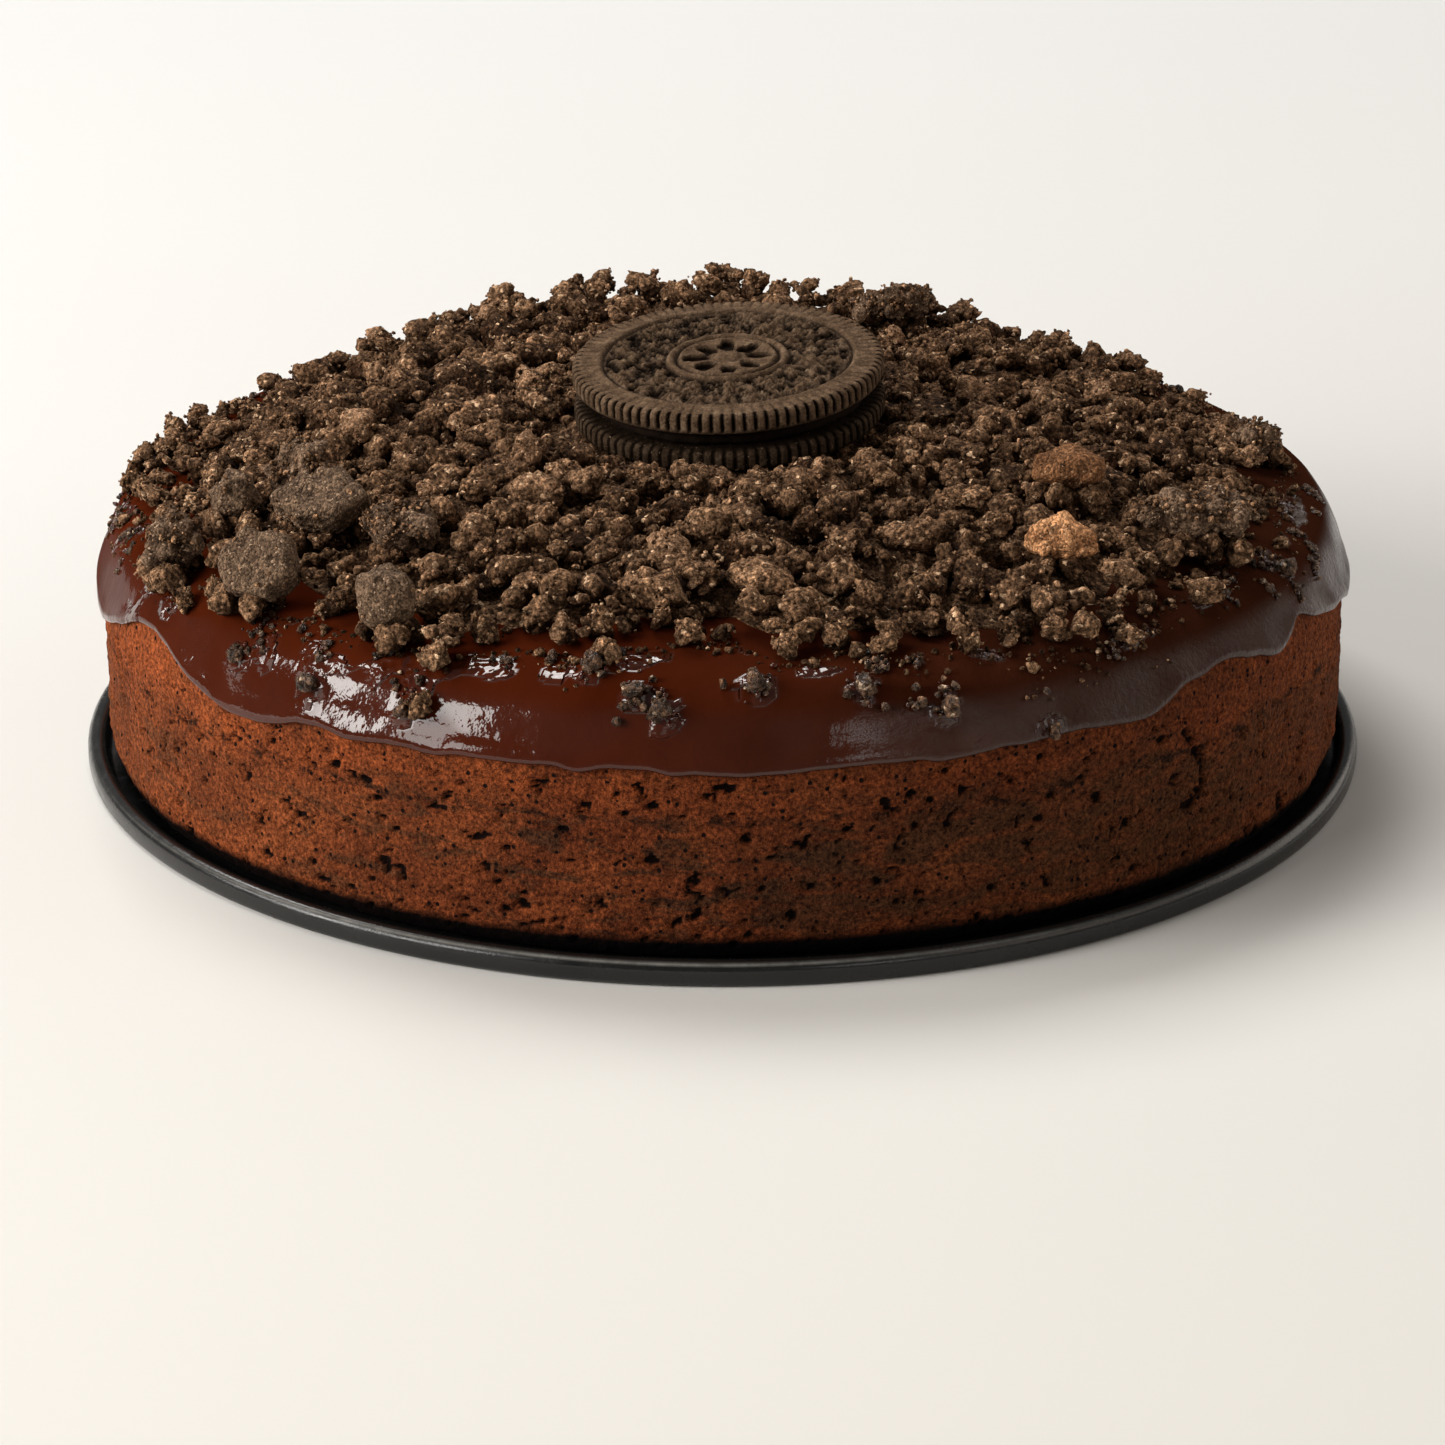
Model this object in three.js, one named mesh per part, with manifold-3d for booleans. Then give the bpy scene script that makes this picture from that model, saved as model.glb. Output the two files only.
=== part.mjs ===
// A round chocolate cake standing on the base plate of its springform tin. A glaze covers its top and
// laps over its side, crushed cookies are heaped on the glaze, and one whole sandwich cookie lies on
// the heap. Millimetres, +Z up. The origin is on the ground under the centre, and the front faces -Y.

import * as THREE from 'three';
import { mergeVertices } from 'three/addons/utils/BufferGeometryUtils.js';
import Module from 'manifold-3d';

const wasm = await Module();
wasm.setup();

const DEGREE = Math.PI / 180;
const MERGE_DISTANCE = 1e-4;

// Base plate of the tin
const TIN_RADIUS = 92;
const TIN_PLATE_THICKNESS = 1.0;
const TIN_BEAD_WIDTH = 2.8;
const TIN_BEAD_HEIGHT = 3.4;
const TIN_FOOT_ROUNDING = 0.8;
const TIN_BEAD_CREST = 0.8;
const TIN_BEAD_SHOULDER = 0.45;
const TIN_PLATE_FILLET = 0.8;
const TIN_SEGMENTS = 56;

// The cake is turned from profiles. Its shoulder is an arc that starts at the side and sweeps up to
// where the domed top takes over.
const CAKE_SEGMENTS = 64;
const SHOULDER_SWEEP = 81 * DEGREE;
const DOME_STATION = 0.55;
const CONTACT_GAP = 0.3;

// Skins: middle and level place the centre of the shoulder arc, top is the height on the axis
const SPONGE_SKIN = { middle: 78.1, level: 27.0, arc: 10.3, top: 42.9 };
const GLAZE_INNER_SKIN = {
  middle: SPONGE_SKIN.middle,
  level: SPONGE_SKIN.level,
  arc: SPONGE_SKIN.arc + CONTACT_GAP,
  top: SPONGE_SKIN.top + CONTACT_GAP,
};
const GLAZE_SKIN = { middle: 78.7, level: 28.3, arc: 10.7, top: 44.6 };

// Sponge
const SPONGE_FOOT_HEIGHT = TIN_PLATE_THICKNESS + CONTACT_GAP;
const SPONGE_FOOT_INSET = 3.8;
const SPONGE_FOOT_ROUNDING = 4.2;
const SPONGE_FOOT_STEPS = 3;
const OUT_OF_ROUND = 0.35;

// Glaze: its lower edge hangs at a mean height, lower in tongues and higher between them
const GLAZE_EDGE_HEIGHT = 27.7;
const GLAZE_LIP = 0.55;
const GLAZE_LIP_PROUD = 0.15;
const GLAZE_EDGE_LOBES = [
  { at: -166, width: 6, size: -2.4 },
  { at: -151, width: 5, size: 3.4 },
  { at: -135, width: 4, size: -1.9 },
  { at: -116, width: 4, size: -0.5 },
  { at: -103, width: 4, size: 0.4 },
  { at: -60, width: 9, size: 0.6 },
  { at: -42, width: 5, size: 3.4 },
  { at: -27, width: 5, size: 3.2 },
  { at: -3, width: 8, size: -1.6 },
  { at: 21, width: 6, size: 1.8 },
  { at: 44, width: 8, size: -2.2 },
  { at: 66, width: 5, size: 2.0 },
  { at: 88, width: 7, size: -1.7 },
  { at: 109, width: 5, size: 2.3 },
  { at: 131, width: 7, size: -2.1 },
  { at: 156, width: 6, size: 1.7 },
];

// Crumb heap: how far out it reaches, in tongues and bays
const HEAP_RADIUS = 81.5;
const HEAP_LOBES = [
  { at: -92, width: 9, size: -5.5 },
  { at: -115, width: 3, size: 3.5 },
  { at: -53, width: 8, size: 2.5 },
  { at: -27, width: 8, size: -1.5 },
  { at: -142, width: 13, size: 2.6 },
  { at: -172, width: 7, size: -1.2 },
  { at: 40, width: 30, size: -2.6 },
  { at: 100, width: 12, size: 1.4 },
  { at: 145, width: 18, size: 1.8 },
];
const HEAP_CLEARANCE = 0.5;
const HEAP_CORE_INSET = 2.0;
const HEAP_CORE_DEPTH = 2.6;
const HEAP_CORE_EDGE_DEPTH = 1.3;
const HEAP_BACK_DEPTH = 2.2;
const HEAP_BUMP_HEIGHT = 5.0;
const HEAP_EDGE_UNEVENNESS = 3.0;
const HEAP_BUMP_SPACING = 6.0;
const HEAP_SEGMENTS = 60;
const HEAP_STATIONS = [0, 0.5, 0.85, 1];
const HEAP_SEED = 11;
const CLUMP_COUNT = 90;
const ROUND_CLUMP_COUNT = 40;
const CLUMP_LARGEST = 11.5;
const CLUMP_SMALLEST = 7.5;
const CLUMP_ROUGHNESS = 0.4;
const CLUMP_LIFT = 0.2;
const CLUMP_OVERHANG = 0.1;
const CLUMP_LEAST_WIDTH = 0.75;
const CLUMP_LEAST_HEIGHT = 0.65;
const CLUMP_VARIETY = 0.25;
const CLUMP_SEED = 17;

// Steps of the two-dimensional golden-ratio sequence, which spreads any number of points evenly
const SPREAD_OUT = 0.7548776662;
const SPREAD_ROUND = 0.569840291;

// Loose crumbs stuck to the bare glaze in front of the heap: place and size
const LOOSE_CRUMBS = [
  { x: -62.9, y: -60.7, size: 3.4 },
  { x: -52.5, y: -70.2, size: 3.8 },
  { x: -40.2, y: -78.0, size: 3.2 },
  { x: -16.2, y: -79.6, size: 4.2 },
  { x: -7.8, y: -86.0, size: 4.4 },
  { x: -10.9, y: -84.2, size: 3.4 },
  { x: 4.2, y: -83.6, size: 3.8 },
  { x: 17.6, y: -82.6, size: 3.4 },
  { x: 28.2, y: -82.2, size: 3.2 },
  { x: 41.6, y: -78.2, size: 3.0 },
  { x: 75.6, y: -38.0, size: 3.2 },
];
const LOOSE_CRUMB_SINK = 0.6;
const LOOSE_CRUMB_ROUGHNESS = 0.35;
const LOOSE_CRUMB_FORM = [1, 0.85, 0.8];
const LOOSE_CRUMB_SEED = 5;

// Big fragments lying in the heap. Each has its place, its size before it is tipped, its tilt towards
// the front and then its turn, both in degrees, and its lift over the lowest place where it could lie.
const FRAGMENTS = [
  { kind: 'wafer', x: -60.6, y: -55.0, size: [11.6, 11.4, 4.6], tilt: 52, turn: -20, lift: 0.1 },
  { kind: 'wafer', x: -53.4, y: -41.6, size: [12.2, 9.4, 4.6], tilt: 34, turn: -14, lift: 3.4 },
  { kind: 'wafer', x: -42.4, y: -48.6, size: [10.4, 8.2, 4.0], tilt: 28, turn: 8, lift: 2.4 },
  { kind: 'wafer', x: 64.4, y: -39.4, size: [15.2, 7.4, 4.2], tilt: 14, turn: 5, lift: 3.0 },
  { kind: 'wafer', x: -57.4, y: -27.2, size: [10.2, 10.4, 4.0], tilt: 46, turn: -12, lift: 1.4 },
  { kind: 'wafer', x: 26.0, y: 54.0, size: [12.0, 9.5, 4.0], tilt: -34, turn: 20, lift: 2.6 },
  { kind: 'nugget', x: -42.8, y: -69.4, size: [8.6, 8.4, 11.4], tilt: 12, turn: -20, lift: 0.1 },
  { kind: 'nugget', x: -73.4, y: -40.6, size: [8.6, 8.6, 9.2], tilt: 10, turn: 30, lift: 0.2 },
  { kind: 'nugget', x: 47.3, y: -29.4, size: [11.2, 7.8, 6.4], tilt: 8, turn: -8, lift: 3.6 },
  { kind: 'nugget', x: 44.8, y: -51.6, size: [11.2, 7.2, 6.2], tilt: 8, turn: -6, lift: 2.4 },
  { kind: 'nugget', x: -66.0, y: -31.6, size: [8.0, 7.6, 9.6], tilt: 8, turn: 50, lift: 0.8 },
  { kind: 'nugget', x: 76.6, y: 2.6, size: [8.6, 7.2, 5.8], tilt: 0, turn: 12, lift: 0.6 },
];
const FRAGMENT_CORNERS = 6;
const FRAGMENT_WEAR = 0.6;
const FRAGMENT_REACH = 0.45;
const FRAGMENT_RAGGEDNESS = 0.14;
const NUGGET_ROUGHNESS = 0.22;
const FRAGMENT_GAP = 0.6;
const FRAGMENT_SEED = 29;

// Sandwich cookie, tipped towards the front and a little to the left
const COOKIE_RADIUS = 22.2;
const COOKIE_PLACE = { x: 1.1, y: 1.5, z: 47.4 };
const COOKIE_TIP = 5.5 * DEGREE;
const COOKIE_LEAN = 2.6 * DEGREE;
const WAFER_THICKNESS = 3.0;
const WAFER_RIBS = 52;
const RIB_DEPTH = 0.45;
const WAFER_EDGE_ROUNDING = 0.9;
const FILLING_THICKNESS = 2.0;
const FILLING_RADIUS = 20.4;
const FILLING_SEGMENTS = 40;
const BAND_INNER_RADIUS = 8.9;
const BAND_OUTER_RADIUS = 17.4;
const BAND_DEPTH = 0.45;
const BAND_SEGMENTS = 36;
const ROSETTE_SLOTS = 8;
const ROSETTE_RADIUS = 4.9;
const SLOT_LENGTH = 3.2;
const SLOT_WIDTH = 1.5;
const SLOT_DEPTH = 0.6;
const SLOT_TAPER = 0.8;
const SLOT_SEGMENTS = 8;
const SEAT_GAP = 0.4;
const SEAT_HEADROOM = 20;

// Blanks for lumps, about one long each way
const ROUND_BLANK = new THREE.IcosahedronGeometry(0.5, 0);
const BLOCK_BLANK = new THREE.BoxGeometry(0.75, 0.75, 0.75);

const MATERIALS = {
  tin: new THREE.MeshStandardMaterial({ color: 0x1c1c1b, roughness: 0.35, metalness: 0.6 }),
  sponge: new THREE.MeshStandardMaterial({ color: 0x6e3018, roughness: 0.9, metalness: 0 }),
  glaze: new THREE.MeshStandardMaterial({ color: 0x35130b, roughness: 0.15, metalness: 0 }),
  crumbs: new THREE.MeshStandardMaterial({ color: 0x3a2a20, roughness: 0.95, metalness: 0 }),
  wafer: new THREE.MeshStandardMaterial({ color: 0x2c2420, roughness: 0.85, metalness: 0 }),
  filling: new THREE.MeshStandardMaterial({ color: 0x1d1512, roughness: 0.7, metalness: 0 }),
  nugget: new THREE.MeshStandardMaterial({ color: 0x5b3a26, roughness: 0.9, metalness: 0 }),
};

// Mulberry32, a small seeded random generator: the same draws on every run.
function seededRandom(seed) {
  let state = seed;
  return () => {
    state = (state + 0x6d2b79f5) | 0;
    let mixed = Math.imul(state ^ (state >>> 15), 1 | state);
    mixed = (mixed + Math.imul(mixed ^ (mixed >>> 7), 61 | mixed)) ^ mixed;
    return ((mixed ^ (mixed >>> 14)) >>> 0) / 2 ** 32;
  };
}

// Signed volume of a mesh: negative when its faces point inwards.
function signedVolume(geometry) {
  const { position } = geometry.attributes;
  const index = geometry.index.array;
  const corner = [new THREE.Vector3(), new THREE.Vector3(), new THREE.Vector3()];
  let total = 0;
  for (let face = 0; face < index.length; face += 3) {
    corner.forEach((point, k) => point.fromBufferAttribute(position, index[face + k]));
    total += corner[0].dot(corner[1].clone().cross(corner[2])) / 6;
  }
  return total;
}

// One closed mesh with shared vertices, no collapsed triangles and its faces pointing out.
function closedMesh(geometry) {
  const bare = geometry.clone();
  bare.deleteAttribute('normal');
  bare.deleteAttribute('uv');
  const merged = mergeVertices(bare, MERGE_DISTANCE);
  const kept = [];
  const old = merged.index.array;
  for (let face = 0; face < old.length; face += 3) {
    const [a, b, c] = [old[face], old[face + 1], old[face + 2]];
    if (a !== b && b !== c && c !== a) {
      kept.push(a, b, c);
    }
  }
  merged.setIndex(kept);
  if (signedVolume(merged) < 0) {
    merged.setIndex(kept.reverse());
  }
  return merged;
}

function toSolid(geometry) {
  return new wasm.Manifold(new wasm.Mesh({
    numProp: 3,
    vertProperties: new Float32Array(geometry.attributes.position.array),
    triVerts: new Uint32Array(geometry.index.array),
  }));
}

function toGeometry(solid) {
  const { vertProperties, triVerts } = solid.getMesh();
  const geometry = new THREE.BufferGeometry();
  geometry.setAttribute('position', new THREE.BufferAttribute(new Float32Array(vertProperties), 3));
  geometry.setIndex(new THREE.BufferAttribute(new Uint32Array(triVerts), 1));
  geometry.computeVertexNormals();
  return geometry;
}

// Sum of smooth lobes round the rim. at and width are in degrees, size in millimetres.
function lobesAt(azimuth, lobes) {
  return lobes.reduce((sum, lobe) => {
    const turn = azimuth - lobe.at * DEGREE;
    const away = Math.atan2(Math.sin(turn), Math.cos(turn)) / DEGREE;
    return sum + lobe.size * Math.exp(-0.5 * (away / lobe.width) ** 2);
  }, 0);
}

// How far the cake's side stands proud of a true circle.
function outOfRound(azimuth) {
  const slow = Math.sin(2 * azimuth + 0.7) + 0.6 * Math.sin(3 * azimuth + 2.1);
  return OUT_OF_ROUND * (0.6 * slow + 0.25 * Math.sin(7 * azimuth + 1.3));
}

// A solid of revolution whose outline may change from segment to segment. outlineAt takes an azimuth
// and the number of its segment, and gives pairs of radius and height from the axis back to the axis.
function revolve(outlineAt, segments) {
  const start = -Math.PI / 2;
  const profile = outlineAt(start, 0).map(([radius, height]) => new THREE.Vector2(radius, height));
  const geometry = new THREE.LatheGeometry(profile, segments);
  const { position } = geometry.attributes;
  for (let step = 0; step <= segments; step += 1) {
    const segment = step % segments;
    const azimuth = start + (segment / segments) * 2 * Math.PI;
    outlineAt(azimuth, segment).forEach(([radius, height], row) => {
      const x = radius * Math.cos(azimuth);
      const y = radius * Math.sin(azimuth);
      position.setXYZ(step * profile.length + row, x, y, height);
    });
  }
  return closedMesh(geometry);
}

// Spreads the out-of-round of the side over a cake outline, fading to nothing on the axis.
function wobbled(outline, azimuth) {
  const side = SPONGE_SKIN.middle + SPONGE_SKIN.arc;
  const proud = outOfRound(azimuth) / side;
  return outline.map(([radius, height]) => [radius * (1 + proud), height]);
}

// Radius and height where the shoulder arc of a skin meets its dome.
function domeRim(skin) {
  return [
    skin.middle + skin.arc * Math.cos(SHOULDER_SWEEP),
    skin.level + skin.arc * Math.sin(SHOULDER_SWEEP),
  ];
}

// Height of a skin over the ground at a radius: a parabola on the dome, then the shoulder arc.
function skinHeight(skin, radius) {
  const [rimRadius, rimHeight] = domeRim(skin);
  if (radius <= rimRadius) {
    return skin.top - (skin.top - rimHeight) * (radius / rimRadius) ** 2;
  }
  const across = Math.min(radius - skin.middle, skin.arc);
  return skin.level + Math.sqrt(skin.arc ** 2 - across ** 2);
}

// Radius of a skin at a height below the dome: the shoulder arc, then straight down the side.
function skinRadius(skin, height) {
  const up = Math.max(0, height - skin.level);
  return skin.middle + Math.sqrt(skin.arc ** 2 - up ** 2);
}

// Points down a skin from the rim of its dome to a height, evenly spaced along the curve.
function shoulderPoints(skin, lowest, count) {
  const arcEnd = Math.asin(Math.max(0, lowest - skin.level) / skin.arc);
  const arcLength = skin.arc * (SHOULDER_SWEEP - arcEnd);
  const total = arcLength + Math.max(0, skin.level - lowest);
  return Array.from({ length: count }, (unused, step) => {
    const along = (total * step) / (count - 1);
    if (along > arcLength) {
      return [skin.middle + skin.arc, skin.level - (along - arcLength)];
    }
    const angle = SHOULDER_SWEEP - along / skin.arc;
    return [skin.middle + skin.arc * Math.cos(angle), skin.level + skin.arc * Math.sin(angle)];
  });
}

// Points out along a dome from the axis, without its rim.
function domePoints(skin) {
  const [rimRadius] = domeRim(skin);
  return [0, DOME_STATION].map((part) => [part * rimRadius, skinHeight(skin, part * rimRadius)]);
}

// A flat plate with a rounded bead standing round its rim.
function tinBase() {
  const inside = TIN_RADIUS - TIN_BEAD_WIDTH;
  const crest = TIN_RADIUS - TIN_BEAD_WIDTH / 2;
  const shoulder = TIN_BEAD_HEIGHT - TIN_BEAD_SHOULDER;
  const outline = [
    [0, 0],
    [TIN_RADIUS - TIN_FOOT_ROUNDING, 0],
    [TIN_RADIUS, TIN_FOOT_ROUNDING],
    [TIN_RADIUS, shoulder - TIN_BEAD_SHOULDER],
    [crest + TIN_BEAD_CREST, shoulder],
    [crest, TIN_BEAD_HEIGHT],
    [crest - TIN_BEAD_CREST, shoulder],
    [inside, TIN_PLATE_THICKNESS + TIN_PLATE_FILLET],
    [inside - TIN_PLATE_FILLET, TIN_PLATE_THICKNESS],
    [0, TIN_PLATE_THICKNESS],
  ];
  return revolve(() => outline, TIN_SEGMENTS);
}

// The quarter ellipse that rounds the cake's foot, from its underside up to its side.
function footPoints() {
  const middle = SPONGE_SKIN.middle + SPONGE_SKIN.arc - SPONGE_FOOT_INSET;
  const top = SPONGE_FOOT_HEIGHT + SPONGE_FOOT_ROUNDING;
  return Array.from({ length: SPONGE_FOOT_STEPS + 1 }, (unused, step) => {
    const angle = (step / SPONGE_FOOT_STEPS) * (Math.PI / 2);
    const across = middle + SPONGE_FOOT_INSET * Math.sin(angle);
    return [across, top - SPONGE_FOOT_ROUNDING * Math.cos(angle)];
  });
}

// The cake itself: its foot is rounded in, its side upright, its top domed.
function sponge() {
  const side = SPONGE_SKIN.middle + SPONGE_SKIN.arc;
  const outlineAt = (azimuth) => wobbled([
    [0, SPONGE_FOOT_HEIGHT],
    ...footPoints(),
    [side, SPONGE_SKIN.level],
    ...shoulderPoints(SPONGE_SKIN, SPONGE_SKIN.level, 4).slice(0, -1).reverse(),
    ...domePoints(SPONGE_SKIN).reverse(),
  ], azimuth);
  return revolve(outlineAt, CAKE_SEGMENTS);
}

function glazeEdgeHeight(azimuth) {
  return GLAZE_EDGE_HEIGHT + lobesAt(azimuth, GLAZE_EDGE_LOBES);
}

// The bare glaze: a thin shell over the sponge with a rounded lip at its lower edge.
function glazeShell() {
  const outlineAt = (azimuth) => {
    const edge = glazeEdgeHeight(azimuth);
    const outer = shoulderPoints(GLAZE_SKIN, edge + 2 * GLAZE_LIP, 5);
    const inner = shoulderPoints(GLAZE_INNER_SKIN, edge + GLAZE_LIP, 6).reverse();
    const lipOuter = skinRadius(GLAZE_SKIN, edge) + GLAZE_LIP_PROUD;
    const lipInner = skinRadius(GLAZE_INNER_SKIN, edge);
    return wobbled([
      ...domePoints(GLAZE_SKIN),
      ...outer,
      [lipOuter, edge + GLAZE_LIP],
      [(lipOuter + lipInner) / 2, edge],
      ...inner,
      ...domePoints(GLAZE_INNER_SKIN).reverse(),
    ], azimuth);
  };
  return revolve(outlineAt, CAKE_SEGMENTS);
}

// An irregular lump with the given lengths: a plain blank, one long each way, with every corner
// pushed in or out.
function lump(random, blank, lengths, roughness) {
  const geometry = closedMesh(blank);
  const { position } = geometry.attributes;
  for (let corner = 0; corner < position.count; corner += 1) {
    const push = 1 + roughness * (random() - 0.5);
    position.setXYZ(
      corner,
      position.getX(corner) * push,
      position.getY(corner) * push,
      position.getZ(corner) * push,
    );
  }
  return geometry.scale(...lengths);
}

// A broken piece of wafer: a flat slab with an irregular outline and worn edges.
function waferFragment(random, [length, width, thickness]) {
  const wear = FRAGMENT_WEAR;
  const corners = Array.from({ length: FRAGMENT_CORNERS }, (unused, corner) => {
    const angle = ((corner + 0.5 * (random() - 0.5)) / FRAGMENT_CORNERS) * 2 * Math.PI;
    const reach = FRAGMENT_REACH + FRAGMENT_RAGGEDNESS * random();
    return new THREE.Vector2(length * reach * Math.cos(angle), width * reach * Math.sin(angle));
  });
  const geometry = new THREE.ExtrudeGeometry(new THREE.Shape(corners), {
    depth: thickness - 2 * wear,
    bevelSize: wear,
    bevelOffset: -wear,
    bevelThickness: wear,
    bevelSegments: 1,
  });
  geometry.translate(0, 0, wear - thickness / 2);
  return closedMesh(geometry);
}

// How far a shape has to rise for all its corners to clear the glaze.
function riseOverGlaze(geometry, clearance) {
  const { position } = geometry.attributes;
  let rise = -Infinity;
  for (let corner = 0; corner < position.count; corner += 1) {
    const radius = Math.hypot(position.getX(corner), position.getY(corner));
    const lowest = skinHeight(GLAZE_SKIN, radius) + clearance;
    rise = Math.max(rise, lowest - position.getZ(corner));
  }
  return rise;
}

function heapRadius(azimuth) {
  return HEAP_RADIUS + lobesAt(azimuth, HEAP_LOBES);
}

// Mean depth of the heap's core over the glaze: deeper towards the back.
function coreDepth(radius, azimuth) {
  return HEAP_CORE_DEPTH + HEAP_BACK_DEPTH * Math.max(0, Math.sin(azimuth)) * (radius / HEAP_RADIUS);
}

// Bumps the size of small clumps. Each segment of the core has a shift of its edge and, for each row,
// a height and a shift outwards.
function coreBumps(rows) {
  const random = seededRandom(HEAP_SEED);
  return Array.from({ length: HEAP_SEGMENTS }, () => ({
    edge: HEAP_EDGE_UNEVENNESS * (random() - 0.5),
    rows: Array.from({ length: rows }, () => ({
      up: HEAP_BUMP_HEIGHT * (random() - 0.4),
      out: 0.5 * HEAP_BUMP_SPACING * (random() - 0.5),
    })),
  }));
}

// The heap's core follows the glaze underneath, is bumpy on top, and ends in a low uneven edge.
function heapCore() {
  const reachInside = COOKIE_RADIUS;
  const rows = Math.round((HEAP_RADIUS - reachInside) / HEAP_BUMP_SPACING);
  const bumps = coreBumps(rows);
  const outlineAt = (azimuth, segment) => {
    const reach = heapRadius(azimuth) - HEAP_CORE_INSET + bumps[segment].edge;
    const pointAt = (radius, depth) => [radius, skinHeight(GLAZE_SKIN, radius) + HEAP_CLEARANCE + depth];
    const bottom = HEAP_STATIONS.map((part) => pointAt(part * reach, 0));
    const top = bumps[segment].rows.map(({ up, out }, row) => {
      const radius = reach - ((reach - reachInside) * (row + 0.5)) / rows + out;
      return pointAt(radius, coreDepth(radius, azimuth) + up);
    });
    return [...bottom, pointAt(reach, HEAP_CORE_EDGE_DEPTH), ...top, pointAt(0, HEAP_CORE_DEPTH)];
  };
  return revolve(outlineAt, HEAP_SEGMENTS);
}

// Clumps of crushed cookie, the largest first, spread evenly by a sequence that fills the disc.
function heapClumps(random, fragments) {
  const clumps = [];
  for (let number = 0; number < CLUMP_COUNT; number += 1) {
    const share = (number * SPREAD_OUT) % 1;
    const azimuth = ((number * SPREAD_ROUND) % 1) * 2 * Math.PI;
    const size = CLUMP_LARGEST + (CLUMP_SMALLEST - CLUMP_LARGEST) * Math.sqrt(number / CLUMP_COUNT);
    const radius = Math.sqrt(share) * (heapRadius(azimuth) - (0.5 - CLUMP_OVERHANG) * size);
    const width = size * (CLUMP_LEAST_WIDTH + CLUMP_VARIETY * random());
    const height = size * (CLUMP_LEAST_HEIGHT + CLUMP_VARIETY * random());
    const lengths = [size, width, height];
    const blank = number < ROUND_CLUMP_COUNT ? ROUND_BLANK : BLOCK_BLANK;
    const clump = lump(random, blank, lengths, CLUMP_ROUGHNESS);
    clump.rotateX(0.5 * (random() - 0.5));
    clump.rotateZ(2 * Math.PI * random());
    const [x, y] = [radius * Math.cos(azimuth), radius * Math.sin(azimuth)];
    clump.translate(x, y, 0);
    const onCore = skinHeight(GLAZE_SKIN, radius) + coreDepth(radius, azimuth) + CLUMP_LIFT * size;
    clump.translate(0, 0, Math.max(onCore, riseOverGlaze(clump, HEAP_CLEARANCE)));
    const buried = fragments.some((piece) => Math.hypot(piece.x - x, piece.y - y) < piece.size[0] / 2);
    if (!buried) {
      clumps.push({ x, y, size, solid: toSolid(clump) });
    }
  }
  return clumps;
}

// A mesh lying at its place in the heap, and the same shape grown by the gap, to cut its pocket.
function layFragment(random, piece) {
  const geometry = piece.kind === 'wafer'
    ? waferFragment(random, piece.size)
    : lump(random, ROUND_BLANK, piece.size, NUGGET_ROUGHNESS);
  const mesh = new THREE.Mesh(geometry, MATERIALS[piece.kind]);
  mesh.position.set(piece.x, piece.y, 0);
  mesh.rotation.set(piece.tilt * DEGREE, 0, piece.turn * DEGREE, 'ZXY');
  mesh.updateMatrix();
  const lying = geometry.clone().applyMatrix4(mesh.matrix);
  mesh.position.z = riseOverGlaze(lying, HEAP_CLEARANCE) + piece.lift;
  mesh.updateMatrix();
  const grow = piece.size.map((length) => 1 + (2 * FRAGMENT_GAP) / length);
  const pocket = geometry.clone().scale(...grow).applyMatrix4(mesh.matrix);
  return { mesh, pocket: toSolid(pocket) };
}

// Removes from the heap everything in the cookie's way.
function cookieSeat(matrix) {
  const radius = COOKIE_RADIUS + SEAT_GAP;
  const geometry = new THREE.CylinderGeometry(radius, radius, SEAT_HEADROOM, FILLING_SEGMENTS);
  geometry.rotateX(Math.PI / 2);
  geometry.translate(0, 0, SEAT_HEADROOM / 2 - SEAT_GAP);
  return toSolid(closedMesh(geometry.applyMatrix4(matrix)));
}

// The largest of a solid's separate bodies: cutting pockets can leave loose scraps.
function largestBody(solid) {
  return solid.decompose().reduce((best, body) => (body.volume() > best.volume() ? body : best));
}

function crumbTopping(clumps, pockets) {
  const heap = clumps.reduce((sum, clump) => sum.add(clump.solid), toSolid(heapCore()));
  const cut = pockets.reduce((sum, pocket) => sum.subtract(pocket), heap);
  return toGeometry(largestBody(cut));
}

// Sits a loose crumb on the outer skin of the glaze, sunk a little into it.
function looseCrumb(random, crumb) {
  const radius = Math.hypot(crumb.x, crumb.y);
  const height = skinHeight(GLAZE_SKIN, radius);
  const [rimRadius] = domeRim(GLAZE_SKIN);
  const onArc = radius > rimRadius;
  const outward = onArc ? (radius - GLAZE_SKIN.middle) / GLAZE_SKIN.arc : 0;
  const upward = onArc ? (height - GLAZE_SKIN.level) / GLAZE_SKIN.arc : 1;
  const lift = 0.4 * crumb.size - LOOSE_CRUMB_SINK;
  const lengths = LOOSE_CRUMB_FORM.map((part) => part * crumb.size);
  const geometry = lump(random, ROUND_BLANK, lengths, LOOSE_CRUMB_ROUGHNESS);
  geometry.rotateZ(2 * Math.PI * random());
  const spread = 1 + (outward * lift) / radius;
  return geometry.translate(crumb.x * spread, crumb.y * spread, height + upward * lift);
}

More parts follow.
